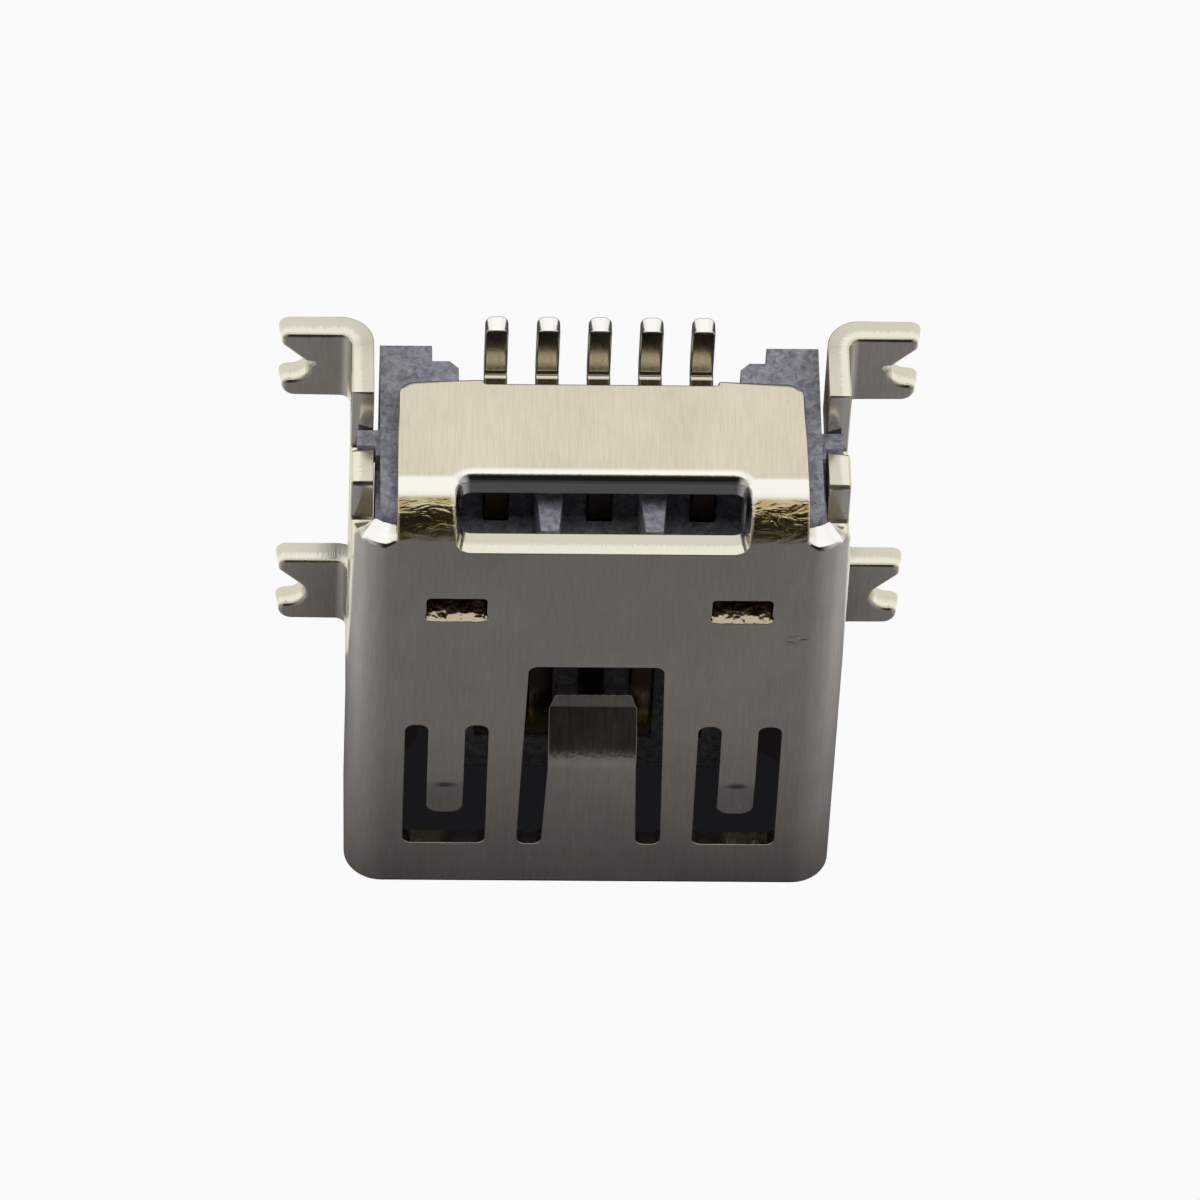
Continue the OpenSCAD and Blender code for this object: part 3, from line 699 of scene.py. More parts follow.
@dataclass(frozen=True)
class ShearedEdge:
    """Sheared edge of the plated strip: smooth and bright near one face, torn and duller near the other."""

    bright: str = "#efe9d9"
    torn: str = "#d9d2c0"
    roughness: tuple[float, float] = (0.1, 0.2)
    # Fine streaks that the punch leaves across the edge, and how far they shift the line where it tore
    streak_w: float = 0.03
    streak_l: float = 0.5
    streak_reach: float = 0.12
    shear_line: float = 0.02
    shear_soft: tuple[float, float] = (0.09, 0.03)
    ledge_h: float = 0.0006
    # Ragged breaks, duller and browner than clean ones, the more so deep down
    tan: str = "#b3a58a"
    brown: str = "#86684c"
    # Near-white tone painted on bevels where the white highlight falls: a painted highlight
    highlight_paint: str = "#fdfbf5"
    tooth_size: float = 0.2
    tooth_h: float = 0.03

    def material(self) -> bpy.types.Material:
        """Build the shader of the sheared edges.

        Returns:
            The material.
        """
        mat, tree, shader = new_material("sheared_nickel_edge")
        place = add(tree, "ShaderNodeAttribute", attribute_name="blank").outputs["Vector"]
        ragged, highlit = (add(tree, "ShaderNodeAttribute", attribute_name=key).outputs["Fac"]
                          for key in ("torn", "painted_highlight"))
        depth = add(tree, "ShaderNodeSeparateXYZ", {0: place})
        scale = (1 / self.streak_w, 1 / self.streak_w, 1 / self.streak_l)
        across = add(tree, "ShaderNodeMapping", {"Vector": place, "Scale": scale})
        streak = add(tree, "ShaderNodeTexNoise",
                     {"Vector": across.outputs[0], "Scale": 1.0, "Detail": 2.0}).outputs[0]
        uneven = add(tree, "ShaderNodeMath", {0: streak, 1: self.streak_reach, 2: depth.outputs[2]},
                     operation="MULTIPLY_ADD")
        start, end = (self.shear_line + soft for soft in self.shear_soft)
        torn = add(tree, "ShaderNodeMapRange",
                   {"Value": uneven.outputs[0], "From Min": start, "From Max": end}).outputs[0]
        colour, rusty = (add(tree, "ShaderNodeMix", {0: torn, 6: linear(upper), 7: linear(lower)},
                             data_type="RGBA").outputs[2]
                         for upper, lower in ((self.bright, self.torn), (self.tan, self.brown)))
        for share, tint in ((ragged, rusty), (highlit, linear(self.highlight_paint))):
            colour = add(tree, "ShaderNodeMix", {0: share, 6: colour, 7: tint}, data_type="RGBA").outputs[2]
        tree.links.new(colour, shader.inputs["Base Color"])
        low, high = self.roughness
        rough = add(tree, "ShaderNodeMapRange", {"Value": torn, "To Min": low, "To Max": high})
        tree.links.new(rough.outputs[0], shader.inputs["Roughness"])
        shader.inputs["Metallic"].default_value = 1.0
        teeth = add(tree, "ShaderNodeTexNoise",
                    {"Vector": place, "Scale": 1 / self.tooth_size, "Detail": 2.0})
        bitten = add(tree, "ShaderNodeMath", {0: teeth.outputs[0], 1: ragged}, operation="MULTIPLY")
        bites = add(tree, "ShaderNodeBump", {"Height": bitten.outputs[0], "Strength": 1.0,
                                             "Distance": self.tooth_h * MM})
        ledge = add(tree, "ShaderNodeMath", {0: streak, 1: torn}, operation="SUBTRACT")
        relief = add(tree, "ShaderNodeBump", {"Height": ledge.outputs[0], "Strength": 1.0,
                                              "Distance": self.ledge_h * MM, "Normal": bites.outputs[0]})
        tree.links.new(relief.outputs[0], shader.inputs["Normal"])
        return mat


@dataclass(frozen=True)
class MouldedPolymer:
    """Glass-filled liquid crystal polymer, moulded: slate grey, matt, with a mottled, fibrous skin."""

    light: str = "#9d9da7"
    dark: str = "#5d5d67"
    tone_span: tuple[float, float] = (0.32, 0.68)
    roughness: tuple[float, float] = (0.45, 0.75)
    mottle_size: float = 0.12
    fibre_size: float = 0.04
    # Height of the skin, and the share of the fibres in it beside the mottling
    relief: float = 0.025
    fibre_share: float = 0.4

    def material(self) -> bpy.types.Material:
        """Build the shader of the moulding.

        Returns:
            The material.
        """
        mat, tree, shader = new_material("moulded_polymer")
        place = add(tree, "ShaderNodeTexCoord").outputs["Object"]
        mottle = add(tree, "ShaderNodeTexNoise", {"Vector": place, "Scale": 1 / (self.mottle_size * MM),
                                                  "Detail": 5.0, "Roughness": 0.65, "Distortion": 0.6})
        fibre = add(tree, "ShaderNodeTexNoise", {"Vector": place, "Scale": 1 / (self.fibre_size * MM),
                                                 "Detail": 3.0, "Roughness": 0.6})
        low, high = self.tone_span
        tone = add(tree, "ShaderNodeMapRange",
                   {"Value": mottle.outputs[0], "From Min": low, "From Max": high})
        colour = add(tree, "ShaderNodeMix",
                     {0: tone.outputs[0], 6: linear(self.dark), 7: linear(self.light)}, data_type="RGBA")
        tree.links.new(colour.outputs[2], shader.inputs["Base Color"])
        (low, high), (satin, dull) = NOISE_SPAN, self.roughness
        rough = add(tree, "ShaderNodeMapRange", {"Value": fibre.outputs[0], "From Min": low, "From Max": high,
                                                 "To Min": satin, "To Max": dull})
        tree.links.new(rough.outputs[0], shader.inputs["Roughness"])
        both = add(tree, "ShaderNodeMath",
                   {0: fibre.outputs[0], 1: self.fibre_share, 2: mottle.outputs[0]}, operation="MULTIPLY_ADD")
        relief = add(tree, "ShaderNodeBump", {"Height": both.outputs[0], "Strength": 1.0,
                                              "Distance": self.relief * MM})
        tree.links.new(relief.outputs[0], shader.inputs["Normal"])
        return mat


@dataclass(frozen=True)
class GoldFlash:
    """Phosphor bronze: gold flashed on the front ends, with pale tinned tails. Behind the gold a dark brown
    paints the shade inside the housing over the bare bronze, and a near-white tone paints the highlight on
    the cut tail tips.
    """

    gold: str = "#e2bd6c"
    pale: str = "#ddd7c8"
    # Near-white tone painted on the cut tail tips where the white highlight falls: a painted highlight
    cut: str = "#fbf9f4"
    roughness: tuple[float, float] = (0.08, 0.18)
    # Dark brown behind the gold: painted shade for the contacts inside the housing, over their bare bronze
    bare: str = "#4a3c30"
    # Where the gold ends and the painted shade starts, and where the tin starts, along the flat strip
    gold_end: tuple[float, float] = (-3.65, -3.35)
    tin_start: tuple[float, float] = (2.4, 2.8)
    # Lines of the roll
    line_w: float = 0.02
    line_l: float = 0.3
    line_d: float = 1 / 30
    line_h: float = 0.0006

    def material(self) -> bpy.types.Material:
        """Build the shader of the contacts.

        Returns:
            The material.
        """
        mat, tree, shader = new_material("gold_flashed_bronze")
        place = add(tree, "ShaderNodeAttribute", attribute_name="blank").outputs["Vector"]
        highlit = add(tree, "ShaderNodeAttribute", attribute_name="painted_highlight").outputs["Fac"]
        run = add(tree, "ShaderNodeSeparateXYZ", {0: place})
        scale = (1 / self.line_w, 1 / self.line_l, 1 / self.line_d)
        along = add(tree, "ShaderNodeMapping", {"Vector": place, "Scale": scale})
        lines = add(tree, "ShaderNodeTexNoise", {"Vector": along.outputs[0], "Scale": 1.0, "Detail": 3.0})
        plated, tinned = (add(tree, "ShaderNodeMapRange",
                              {"Value": run.outputs[1], "From Min": start, "From Max": end}).outputs[0]
                          for start, end in (self.gold_end, self.tin_start))
        colour: Any = linear(self.gold)
        for share, tint in ((plated, self.bare), (tinned, self.pale), (highlit, self.cut)):
            colour = add(tree, "ShaderNodeMix", {0: share, 6: colour, 7: linear(tint)},
                         data_type="RGBA").outputs[2]
        tree.links.new(colour, shader.inputs["Base Color"])
        (low, high), (satin, dull) = NOISE_SPAN, self.roughness
        rough = add(tree, "ShaderNodeMapRange", {"Value": lines.outputs[0], "From Min": low, "From Max": high,
                                                 "To Min": satin, "To Max": dull})
        tree.links.new(rough.outputs[0], shader.inputs["Roughness"])
        shader.inputs["Metallic"].default_value = 1.0
        relief = add(tree, "ShaderNodeBump", {"Height": lines.outputs[0], "Strength": 1.0,
                                              "Distance": self.line_h * MM})
        tree.links.new(relief.outputs[0], shader.inputs["Normal"])
        return mat


@dataclass
class Shell:
    """The folded sheet: top and side walls, narrow lower half, rear flap, feet, latch finger and springs."""

    sheet_t: float = 0.35
    corner_r: float = 0.25
    keel_r: float = 0.15
    punch_r: float = 0.08
    width: float = 7.7
    top_z: float = 3.9
    length: float = 8.42
    peg_to_mouth: float = 5.85
    board_gap: float = 0.15
    keel_l: float = 4.9
    keel_w: float = 6.0
    keel_z: float = 1.75
    keel_angle: float = 57.0
    keel_slit: float = 2 * CRISP
    keel_slit_r: float = 0.9 * CRISP
    seam_gap: float = 0.06
    flap_w: float = 6.3
    flap_r: float = 0.3
    flap_z: float = 1.16
    flap_corner_r: float = 0.3
    relief_w: float = 3.6
    relief_d: float = 0.08
    relief_r: float = 0.8 * CRISP
    bend_window_w: float = 4.4
    bend_window_cut: float = 0.22
    bend_window_drop: float = 0.08
    bend_window_r: float = 0.2
    side_in: float = 0.11
    skirt_z: float = 1.0
    leg_top_z: float = 1.53
    ear_top_z: float = 1.92
    ear_d: float = 0.45
    tab_r: float = 0.12
    tab_top_z: float = 2.63
    slot_top_z: float = 3.4
    slot_d: float = 0.86
    foot_span: float = 9.9
    foot_l: float = 1.5
    foot_r: float = 0.17
    rear_foot_y: float = 2.55
    foot_pitch: float = 5.45
    notch_w: float = 0.8
    notch_d: float = 0.76
    notch_shift: float = 0.07
    notch_lean: float = 0.4
    notch_r: float = 0.26
    prong_r: float = 0.14
    foot_front_r: float = 0.25
    foot_rear_r: float = 0.16
    leg_gap: float = 0.12
    window_w: float = 0.94
    window_l: float = 0.57
    window_pitch: float = 4.4
    window_y: float = 6.77
    latch_front: float = 0.99
    latch_rear: float = 5.41
    latch_rear_w: float = 2.1
    latch_front_w: float = 2.27
    latch_r: float = 0.15
    finger_root_w: float = 1.5
    finger_w: float = 1.39
    finger_tip_w: float = 1.2
    finger_bend: float = 3.0
    finger_angle: float = 35.0
    finger_dip: float = 0.5
    finger_pad: float = 0.2
    pad_droop: float = 20.0
    finger_r: float = 0.12
    finger_root_r: float = 0.43
    spring_pitch: float = 4.58
    spring_cut_w: float = 1.3
    spring_front: float = 1.0
    spring_rear: float = 3.96
    spring_w: float = 0.58
    spring_l: float = 2.2
    spring_bend: float = 1.38
    spring_angle: float = 8.0
    spring_r: float = 0.6
    spring_end_r: float = 0.22
    # Radii of the rolled rims
    edge_roll_r: float = 0.045
    foot_roll_r: float = 0.07
    bend_roll_r: float = 0.2
    flap_roll_r: float = 0.13
    # The slits are cut from inside, so that their outer rims stay sharp and their walls lean the other way
    slit: Rim = Rim(rolled_r=0.015, break_deg=-18.0)
    bend_break: float = 13.0
    # The die bevels the rear ends of the top corners and the front edge of each snap window
    crescent_r: float = 0.29
    crescent_l: float = 0.15
    crescent_break: float = 26.0
    crescent_roll_r: float = 0.1
    window_front: float = 0.11
    window_break: float = 25.0
    # How much each kind of bend wrinkles the plating
    flap_crinkle: float = 1.0
    corner_crinkle: float = 0.02
    finger_pits: float = 0.35
    folds: dict[str, Fold] = field(default_factory=dict)

    def back(self, distance: float) -> float:
        """Place that lies a distance behind the mouth."""
        return distance - self.peg_to_mouth

    def __post_init__(self) -> None:
        """Work out the levels of the sheet and lay out its folds."""
        t = self.sheet_t
        self.middle_z = self.top_z - t / 2
        self.corner_x = self.width / 2 - t - self.corner_r
        self.corner_z = self.top_z - t - self.corner_r
        self.bend_z = self.top_z - t - self.flap_r
        self.mouth_y = self.back(0)
        self.rear_y = self.back(self.length)
        self.side_rear_y = self.rear_y - self.side_in
        self.front_foot_y = self.rear_foot_y - self.foot_pitch
        self.lay_side_folds()
        flap = [Step(0.0, -90, self.flap_r), Step(self.bend_z - self.flap_z)]
        # The flap's bend wrinkles, and at its end gets painted highlight
        self.folds["flap"] = Fold(FoldLine(flap, t), self.rear_y, 1, 1.0, self.middle_z,
                                  crinkle=self.flap_crinkle, highlight_paint=1.0)
        dip = math.radians(self.finger_angle)
        bend_r = self.finger_r + t / 2
        slope = (self.finger_dip - 2 * bend_r * (1 - math.cos(dip))) / math.sin(dip)
        # A wider bend starts sooner and ends later
        ease = (self.finger_root_r - self.finger_r) * math.tan(dip / 2)
        finger = [Step(self.finger_bend - self.latch_front - ease, -self.finger_angle, self.finger_root_r),
                  Step(slope - ease, self.finger_angle - self.pad_droop, self.finger_r),
                  Step(self.finger_pad)]
        root_y = self.back(self.latch_front)
        self.folds["finger"] = Fold(FoldLine(finger, t), root_y, 1, 1.0, self.middle_z,
                                    pitted=self.finger_pits, band=(0.0, self.finger_root_w / 2))
        spring = [Step(self.spring_bend, -self.spring_angle, self.spring_r),
                  Step(self.spring_l - self.spring_bend)]
        band = ((self.spring_pitch - self.spring_cut_w) / 2, (self.spring_pitch + self.spring_cut_w) / 2)
        self.folds["spring"] = Fold(FoldLine(spring, t), self.back(self.spring_rear), 1, -1.0, self.middle_z,
                                    band=band)

    def lay_side_folds(self) -> None:
        """Lay out the folds over the top corners, down the legs and round the narrow lower half."""
        t = self.sheet_t
        corner = Step(self.corner_x, -90, self.corner_r)
        foot_flat = self.foot_span / 2 - self.width / 2 - self.foot_r
        leg = [corner, Step(self.corner_z - self.foot_r - t, 90, self.foot_r), Step(foot_flat)]
        middle_r = self.keel_r + t / 2
        angle = math.radians(self.keel_angle)
        inwards = (self.width - self.keel_w) / 2
        slant = (inwards - 2 * middle_r * (1 - math.cos(angle))) / math.sin(angle)
        fall = 2 * middle_r * math.sin(angle) + slant * math.cos(angle)
        drop = self.keel_z - fall - middle_r - self.board_gap - t / 2
        flat = self.keel_w / 2 - t - self.keel_r - self.seam_gap / 2
        keel = [corner, Step(self.corner_z - self.keel_z, -self.keel_angle, self.keel_r),
                Step(slant, self.keel_angle, self.keel_r), Step(drop, -90, self.keel_r), Step(flat)]
        for name, steps in (("leg", leg), ("keel", keel)):
            for side, sign in (("right", 1.0), ("left", -1.0)):
                line = FoldLine(steps, t)
                self.folds[f"{name}_{side}"] = Fold(line, 0.0, 0, sign, self.middle_z, self.corner_crinkle)

    def wall_u(self, z: float) -> float:
        """Place across the flat sheet of a height on the side wall.

        Args:
            z: Height above the board.

        Returns:
            Distance from the middle of the flat sheet.
        """
        middle_r = self.corner_r + self.sheet_t / 2
        if z > self.corner_z:
            return self.corner_x + middle_r * math.acos((z - self.corner_z) / middle_r)
        return self.corner_x + middle_r * math.pi / 2 + self.corner_z - z

    def foot(self, y: float) -> list[Corner]:
        """Outline of a foot's tip with its leaning notch, from front to rear.

        Args:
            y: Place of the middle of the foot along the socket.

        Returns:
            Corners for the right side.
        """
        u = self.folds["leg_right"].line.length
        mouth = y + self.notch_shift
        return [(u, y - self.foot_l / 2, self.foot_front_r), (u, mouth - self.notch_w / 2, self.prong_r),
                (u - self.notch_d, mouth - self.notch_lean, self.notch_r),
                (u, mouth + self.notch_w / 2, self.prong_r), (u, y + self.foot_l / 2, self.foot_rear_r)]

    def outer_outline(self) -> list[Corner]:
        """Outline of the whole flat sheet.

        Returns:
            Its corners.
        """
        keel_end = self.folds["keel_right"].line.length
        keel_rear = self.back(self.keel_l)
        slit_rear = keel_rear + self.keel_slit
        knee, skirt = self.wall_u(self.keel_z), self.wall_u(self.skirt_z)
        leg_top, ear_top = self.wall_u(self.leg_top_z), self.wall_u(self.ear_top_z)
        tab_top, slot_top = self.wall_u(self.tab_top_z), self.wall_u(self.slot_top_z)
        leg_rear = self.rear_foot_y + self.foot_l / 2
        ear_y, slot_y = self.side_rear_y - self.ear_d, self.side_rear_y - self.slot_d
        flap_end = self.rear_y + self.folds["flap"].line.length
        right = [
            (keel_end, self.mouth_y, CRISP), (keel_end, keel_rear, CRISP),
            (knee, keel_rear, self.keel_slit_r), (knee, slit_rear, self.keel_slit_r),
            (skirt, slit_rear, CRISP),
            (skirt, self.rear_foot_y - self.foot_l / 2, CRISP),
            *self.foot(self.rear_foot_y),
            (leg_top, leg_rear, CRISP), (leg_top, ear_y, CRISP), (ear_top, ear_y, CRISP),
            (ear_top, self.side_rear_y, self.punch_r), (tab_top, self.side_rear_y, self.tab_r),
            (tab_top, slot_y, self.punch_r), (slot_top, slot_y, self.punch_r),
            (slot_top, self.rear_y, self.crescent_r),
            (self.flap_w / 2 + self.crescent_l, self.rear_y, CRISP),
            (self.flap_w / 2, self.rear_y, CRISP), (self.flap_w / 2, flap_end, self.flap_corner_r),
            (self.relief_w / 2, flap_end, self.relief_r),
            (self.relief_w / 2, flap_end - self.relief_d, self.relief_r),
        ]
        return both_halves(right)

    def leg_hole(self) -> list[Corner]:
        """Outline of the gap round the right front leg."""
        y, gap = self.front_foot_y, self.leg_gap
        knee = self.wall_u(self.keel_z)
        end = self.folds["leg_right"].line.length + gap / 2
        low, high = y - self.foot_l / 2, y + self.foot_l / 2
        return [(knee, low, CRISP), (knee, low - gap, CRISP), (end, low - gap, CRISP),
                (end, high + gap, CRISP), (knee, high + gap, CRISP), (knee, high, CRISP),
                *reversed(self.foot(y))]

    def latch_hole(self) -> list[Corner]:
        """Outline of the gap round the latch finger."""
        line = self.folds["finger"].line
        front, rear = self.back(self.latch_front), self.back(self.latch_rear)
        (bend, _), (shoulder, _) = line.bends
        right = [(self.finger_tip_w / 2, front + line.length, CRISP),
                 (self.finger_w / 2, front + shoulder, CRISP),
                 (self.finger_w / 2, front + bend, self.spring_r),
                 (self.finger_root_w / 2, front, self.latch_r),
                 (self.latch_front_w / 2, front, self.latch_r),
                 (self.latch_rear_w / 2, rear, self.latch_r)]
        return both_halves(right)

    def spring_hole(self) -> list[Corner]:
        """Outline of the gap round a ground spring, about the middle of the spring."""
        front, rear = self.back(self.spring_front), self.back(self.spring_rear)
        free = rear - self.folds["spring"].line.length
        right = [(self.spring_w / 2, free, self.spring_end_r), (self.spring_w / 2, rear, self.latch_r),
                 (self.spring_cut_w / 2, rear, self.latch_r), (self.spring_cut_w / 2, front, self.latch_r)]
        return both_halves(right)

    def bend_window(self) -> list[Corner]:
        """Outline of the window in the bend of the flap."""
        front = self.rear_y - self.bend_window_cut
        rear = self.rear_y + self.folds["flap"].line.bends[0][1] + self.bend_window_drop
        half, r = self.bend_window_w / 2, self.bend_window_r
        return both_halves([(half, front, r), (half, rear, r)])

    def outer_rim(self, place: Vector) -> Rim:
        """Section of the edge along the outer outline.

        Args:
            place: Place in the flat sheet.

        Returns:
            A bevel with painted highlight where the top corners end at the rear, a wide roll along the flap
            and at the feet, and a narrow one elsewhere.
        """
        u, v = abs(place.x), place.y
        if abs(v - self.rear_y) < CRISP and self.flap_w / 2 < u:
            share = min(1.0, (u - self.flap_w / 2) / self.crescent_l)
            lean = self.slit.break_deg + (self.crescent_break - self.slit.break_deg) * share
            roll = self.edge_roll_r + (self.crescent_roll_r - self.edge_roll_r) * share
            return Rim(roll, max(0.0, lean), highlight_paint=share)
        if v > self.rear_y + self.folds["flap"].line.length - 2 * self.relief_d:
            # The roll is narrow at the step of the relief
            share = min(1.0, abs(u - self.relief_w / 2) / self.flap_corner_r)
            return Rim(self.edge_roll_r + (self.flap_roll_r - self.edge_roll_r) * share ** 2, 0.0)
        return self.foot_rim(place) if v > self.back(self.keel_l) + CRISP else Rim(self.edge_roll_r)

    def foot_rim(self, place: Vector) -> Rim:
        """Section of a leg's edge: a wide roll round the notched end of the foot, a narrow one above."""
        tip = self.folds["leg_right"].line.length - self.notch_d - CRISP
        return Rim(self.foot_roll_r if abs(place.x) > tip else self.edge_roll_r)

    def latch_rim(self, place: Vector) -> Rim:
        """Section of the edge round the latch finger: cut straight at the finger's end, leaning elsewhere."""
        end = self.back(self.latch_front) + self.folds["finger"].line.length - self.finger_pad / 2
        on_end = abs(place.x) < self.finger_w / 2 and place.y > end
        return Rim(self.slit.rolled_r, 0.0) if on_end else self.slit

    def window_rim(self, place: Vector) -> Rim:
        """Section of the edge of a snap window: ragged, and bevelled at the front."""
        front = self.back(self.window_y) - self.window_l / 2 + self.window_front
        share = max(0.0, min(1.0, 1 - (place.y - front) / self.punch_r))
        return Rim(self.slit.rolled_r, self.window_break * share, torn=1.0)

    def bend_rim(self, place: Vector) -> Rim:
        """Section of the edge of the bend window: sharp on the top wall, rolled on the flap and painted with
        a highlight there.

        Args:
            place: Place in the flat sheet.

        Returns:
            The section.
        """
        front = self.rear_y - self.bend_window_cut
        rear = self.rear_y + self.folds["flap"].line.bends[0][1] + self.bend_window_drop
        share = max(0.0, min(1.0, (place.y - front) / (rear - front)))
        roll = self.slit.rolled_r + (self.bend_roll_r - self.slit.rolled_r) * share ** 2
        return Rim(roll, self.bend_break, highlight_paint=share ** 4)

    def snap_window(self) -> list[Corner]:
        """Outline of a snap window, about its own middle."""
        u, v, r = self.window_w / 2, self.window_l / 2, self.punch_r
        front = self.window_front - v
        return [(-u, front, r), (u, front, r), (u, v, r), (-u, v, r)]

    def choose(self, place: Vector) -> Fold:
        """Find the fold that a point of the flat sheet belongs to.

        Args:
            place: The point.

        Returns:
            Its fold.
        """
        u, v = abs(place.x), place.y
        side = "right" if place.x > 0 else "left"
        if u < self.flap_w / 2 + CRISP and v > self.rear_y:
            return self.folds["flap"]
        bend = self.back(self.latch_front) + self.folds["finger"].line.bends[0][0]
        on_finger = bend - CRISP < v < self.back(self.latch_rear) - CRISP
        if on_finger and u < (self.finger_w + self.latch_rear_w) / 4:
            return self.folds["finger"]
        near = abs(u - self.spring_pitch / 2) < (self.spring_w + self.spring_cut_w) / 4
        start = self.back(self.spring_rear - self.spring_bend)
        if near and self.back(self.spring_front) + self.spring_w < v < start:
            return self.folds["spring"]
        in_leg = (abs(v - self.front_foot_y) < self.foot_l / 2 + self.leg_gap / 2
                  and u < self.folds["leg_right"].line.length + self.leg_gap / 4)
        straight = u < self.wall_u(self.keel_z) or in_leg or v > self.back(self.keel_l) + CRISP
        return self.folds[f"{'leg' if straight else 'keel'}_{side}"]

    def mouth_line(self) -> list[tuple[float, float]]:
        """Follow the middle of the sheet round the mouth.

        Returns:
            Places in X and Z, anticlockwise as seen from the rear.
        """
        line = self.folds["keel_right"].line
        places = [line.at(s) for s in (*line.cuts(), line.length)]
        right = [(a, self.middle_z + b) for a, b, *_ in places]
        return right + [(-x, z) for x, z in reversed(right)]

    def build(self) -> bpy.types.Object:
        """Stamp, fold and plate the sheet.

        Returns:
            The shell.
        """
        right = self.leg_hole()
        spring, window = self.spring_hole(), self.snap_window()
        holes = [Cut(self.bend_window(), self.bend_rim), Cut(self.latch_hole(), self.latch_rim),
                 Cut(right, self.foot_rim), Cut([(-u, v, r) for u, v, r in right], self.foot_rim)]
        for sign in (1, -1):
            holes.append(Cut(shifted(spring, sign * self.spring_pitch / 2, 0), self.slit))
            window_at = shifted(window, sign * self.window_pitch / 2, self.back(self.window_y))
            holes.append(Cut(window_at, self.window_rim))
        sheet = Stamping(Cut(self.outer_outline(), self.outer_rim), holes, self.sheet_t)
        obj = sheet.folded("folded_shell", list(self.folds.values()), self.choose)
        set_normals(obj.data)
        finishes = {Finish.FACE: NickelPlate().material(), Finish.SHEARED: ShearedEdge().material()}
        for finish in Finish:
            obj.data.materials.append(finishes[finish])
        return obj


@dataclass
class Contacts:
    """The stamped contacts: a dipped front end, the run in the tongue, the riser and the solder tail."""

    count: int = 5
    pitch: float = 0.8
    width: float = 0.36
    thick: float = 0.23
    front_y: float = -4.1
    tongue_z: float = 2.25
    proud: float = 0.08
    dip: float = 24.0
    dip_r: float = 0.8
    bend_r: float = 0.1
    riser_y: float = 2.25
    tail_y: float = 3.33
    tip_r: float = 0.13
    tip_slant: float = 25.0
    rolled_r: float = 0.03
    burr_r: float = 0.02

    def one(self) -> bpy.types.Object:
        """Stamp and fold one contact on the middle line.

        Returns:
            The contact.
        """
        middle_r = self.dip_r + self.thick / 2
        dip = math.radians(self.dip)
        low = self.tongue_z + self.proud - self.thick
        run = self.riser_y - self.thick - self.bend_r - self.front_y - middle_r * math.sin(dip)
        fall = low - self.thick - 2 * self.bend_r
        steps = [Step(0.0, -self.dip, self.dip_r), Step(run, -90, self.bend_r), Step(fall, 90, self.bend_r),
                 Step(self.tail_y - self.riser_y - self.bend_r)]
        line = FoldLine(steps, self.thick, self.dip)
        base = low + self.thick / 2 - middle_r * (1 - math.cos(dip))
        fold = Fold(line, self.front_y, 1, 1.0, base)
        half = self.width / 2
        end = self.front_y + line.length
        outline = both_halves([(half, self.front_y, self.tip_r), (half, end, self.tip_r)])

        def rim(place: Vector) -> Rim:
            """Section of the edge: plain along the strip, slanted where the tail is cut off, with painted
            highlight there.
            """
            share = max(0.0, 1 - (end - place.y) / self.tip_r)
            return Rim(self.rolled_r, self.tip_slant * share ** 2, highlight_paint=share)

        strip = Stamping(Cut(outline, rim), [], self.thick, self.burr_r)
        return strip.folded("contact", [fold], lambda place: fold)

    def row_tree(self) -> bpy.types.NodeTree:
        """Build the node tree that sets copies of a contact side by side.

        Returns:
            The tree, with the count, the pitch and the finish as inputs.
        """
        tree = bpy.data.node_groups.new("contact_row", "GeometryNodeTree")
        sides = tree.interface
        for name, kind in (("Contact", "Geometry"), ("Count", "Int"), ("Pitch", "Float"),
                           ("Plating", "Material")):
            sides.new_socket(name, in_out="INPUT", socket_type=f"NodeSocket{kind}")
        sides.new_socket("Row", in_out="OUTPUT", socket_type="NodeSocketGeometry")
        given = add(tree, "NodeGroupInput").outputs
        gaps = add(tree, "ShaderNodeMath", {0: given["Count"], 1: 1.0}, operation="SUBTRACT")
        half = add(tree, "ShaderNodeMath", {0: gaps.outputs[0], 1: -0.5}, operation="MULTIPLY")
        first = add(tree, "ShaderNodeMath", {0: half.outputs[0], 1: given["Pitch"]}, operation="MULTIPLY")
        start = add(tree, "ShaderNodeCombineXYZ", {0: first.outputs[0]})
        stride = add(tree, "ShaderNodeCombineXYZ", {0: given["Pitch"]})
        line = add(tree, "GeometryNodeMeshLine", {"Count": given["Count"], "Start Location": start.outputs[0],
                                                  "Offset": stride.outputs[0]})
        copies = add(tree, "GeometryNodeInstanceOnPoints", {"Points": line.outputs[0],
                                                            "Instance": given["Contact"]})
        solid = add(tree, "GeometryNodeRealizeInstances", {0: copies.outputs[0]})
        plated = add(tree, "GeometryNodeSetMaterial",
                     {"Geometry": solid.outputs[0], "Material": given["Plating"]})
        add(tree, "NodeGroupOutput", {"Row": plated.outputs[0]})
        return tree

    def build(self) -> bpy.types.Object:
        """Set the plated contacts in their row.

        Returns:
            The row, as one mesh.
        """
        obj = self.one()
        modifier = obj.modifiers.new("row", "NODES")
        tree = self.row_tree()
        modifier.node_group = tree
        values = {"Count": self.count, "Pitch": self.pitch * MM, "Plating": GoldFlash().material()}
        for item in tree.interface.items_tree:
            if item.name in values:
                modifier[item.identifier] = values[item.name]
        row = baked(obj, "contact_row")
        set_normals(row.data)
        return row


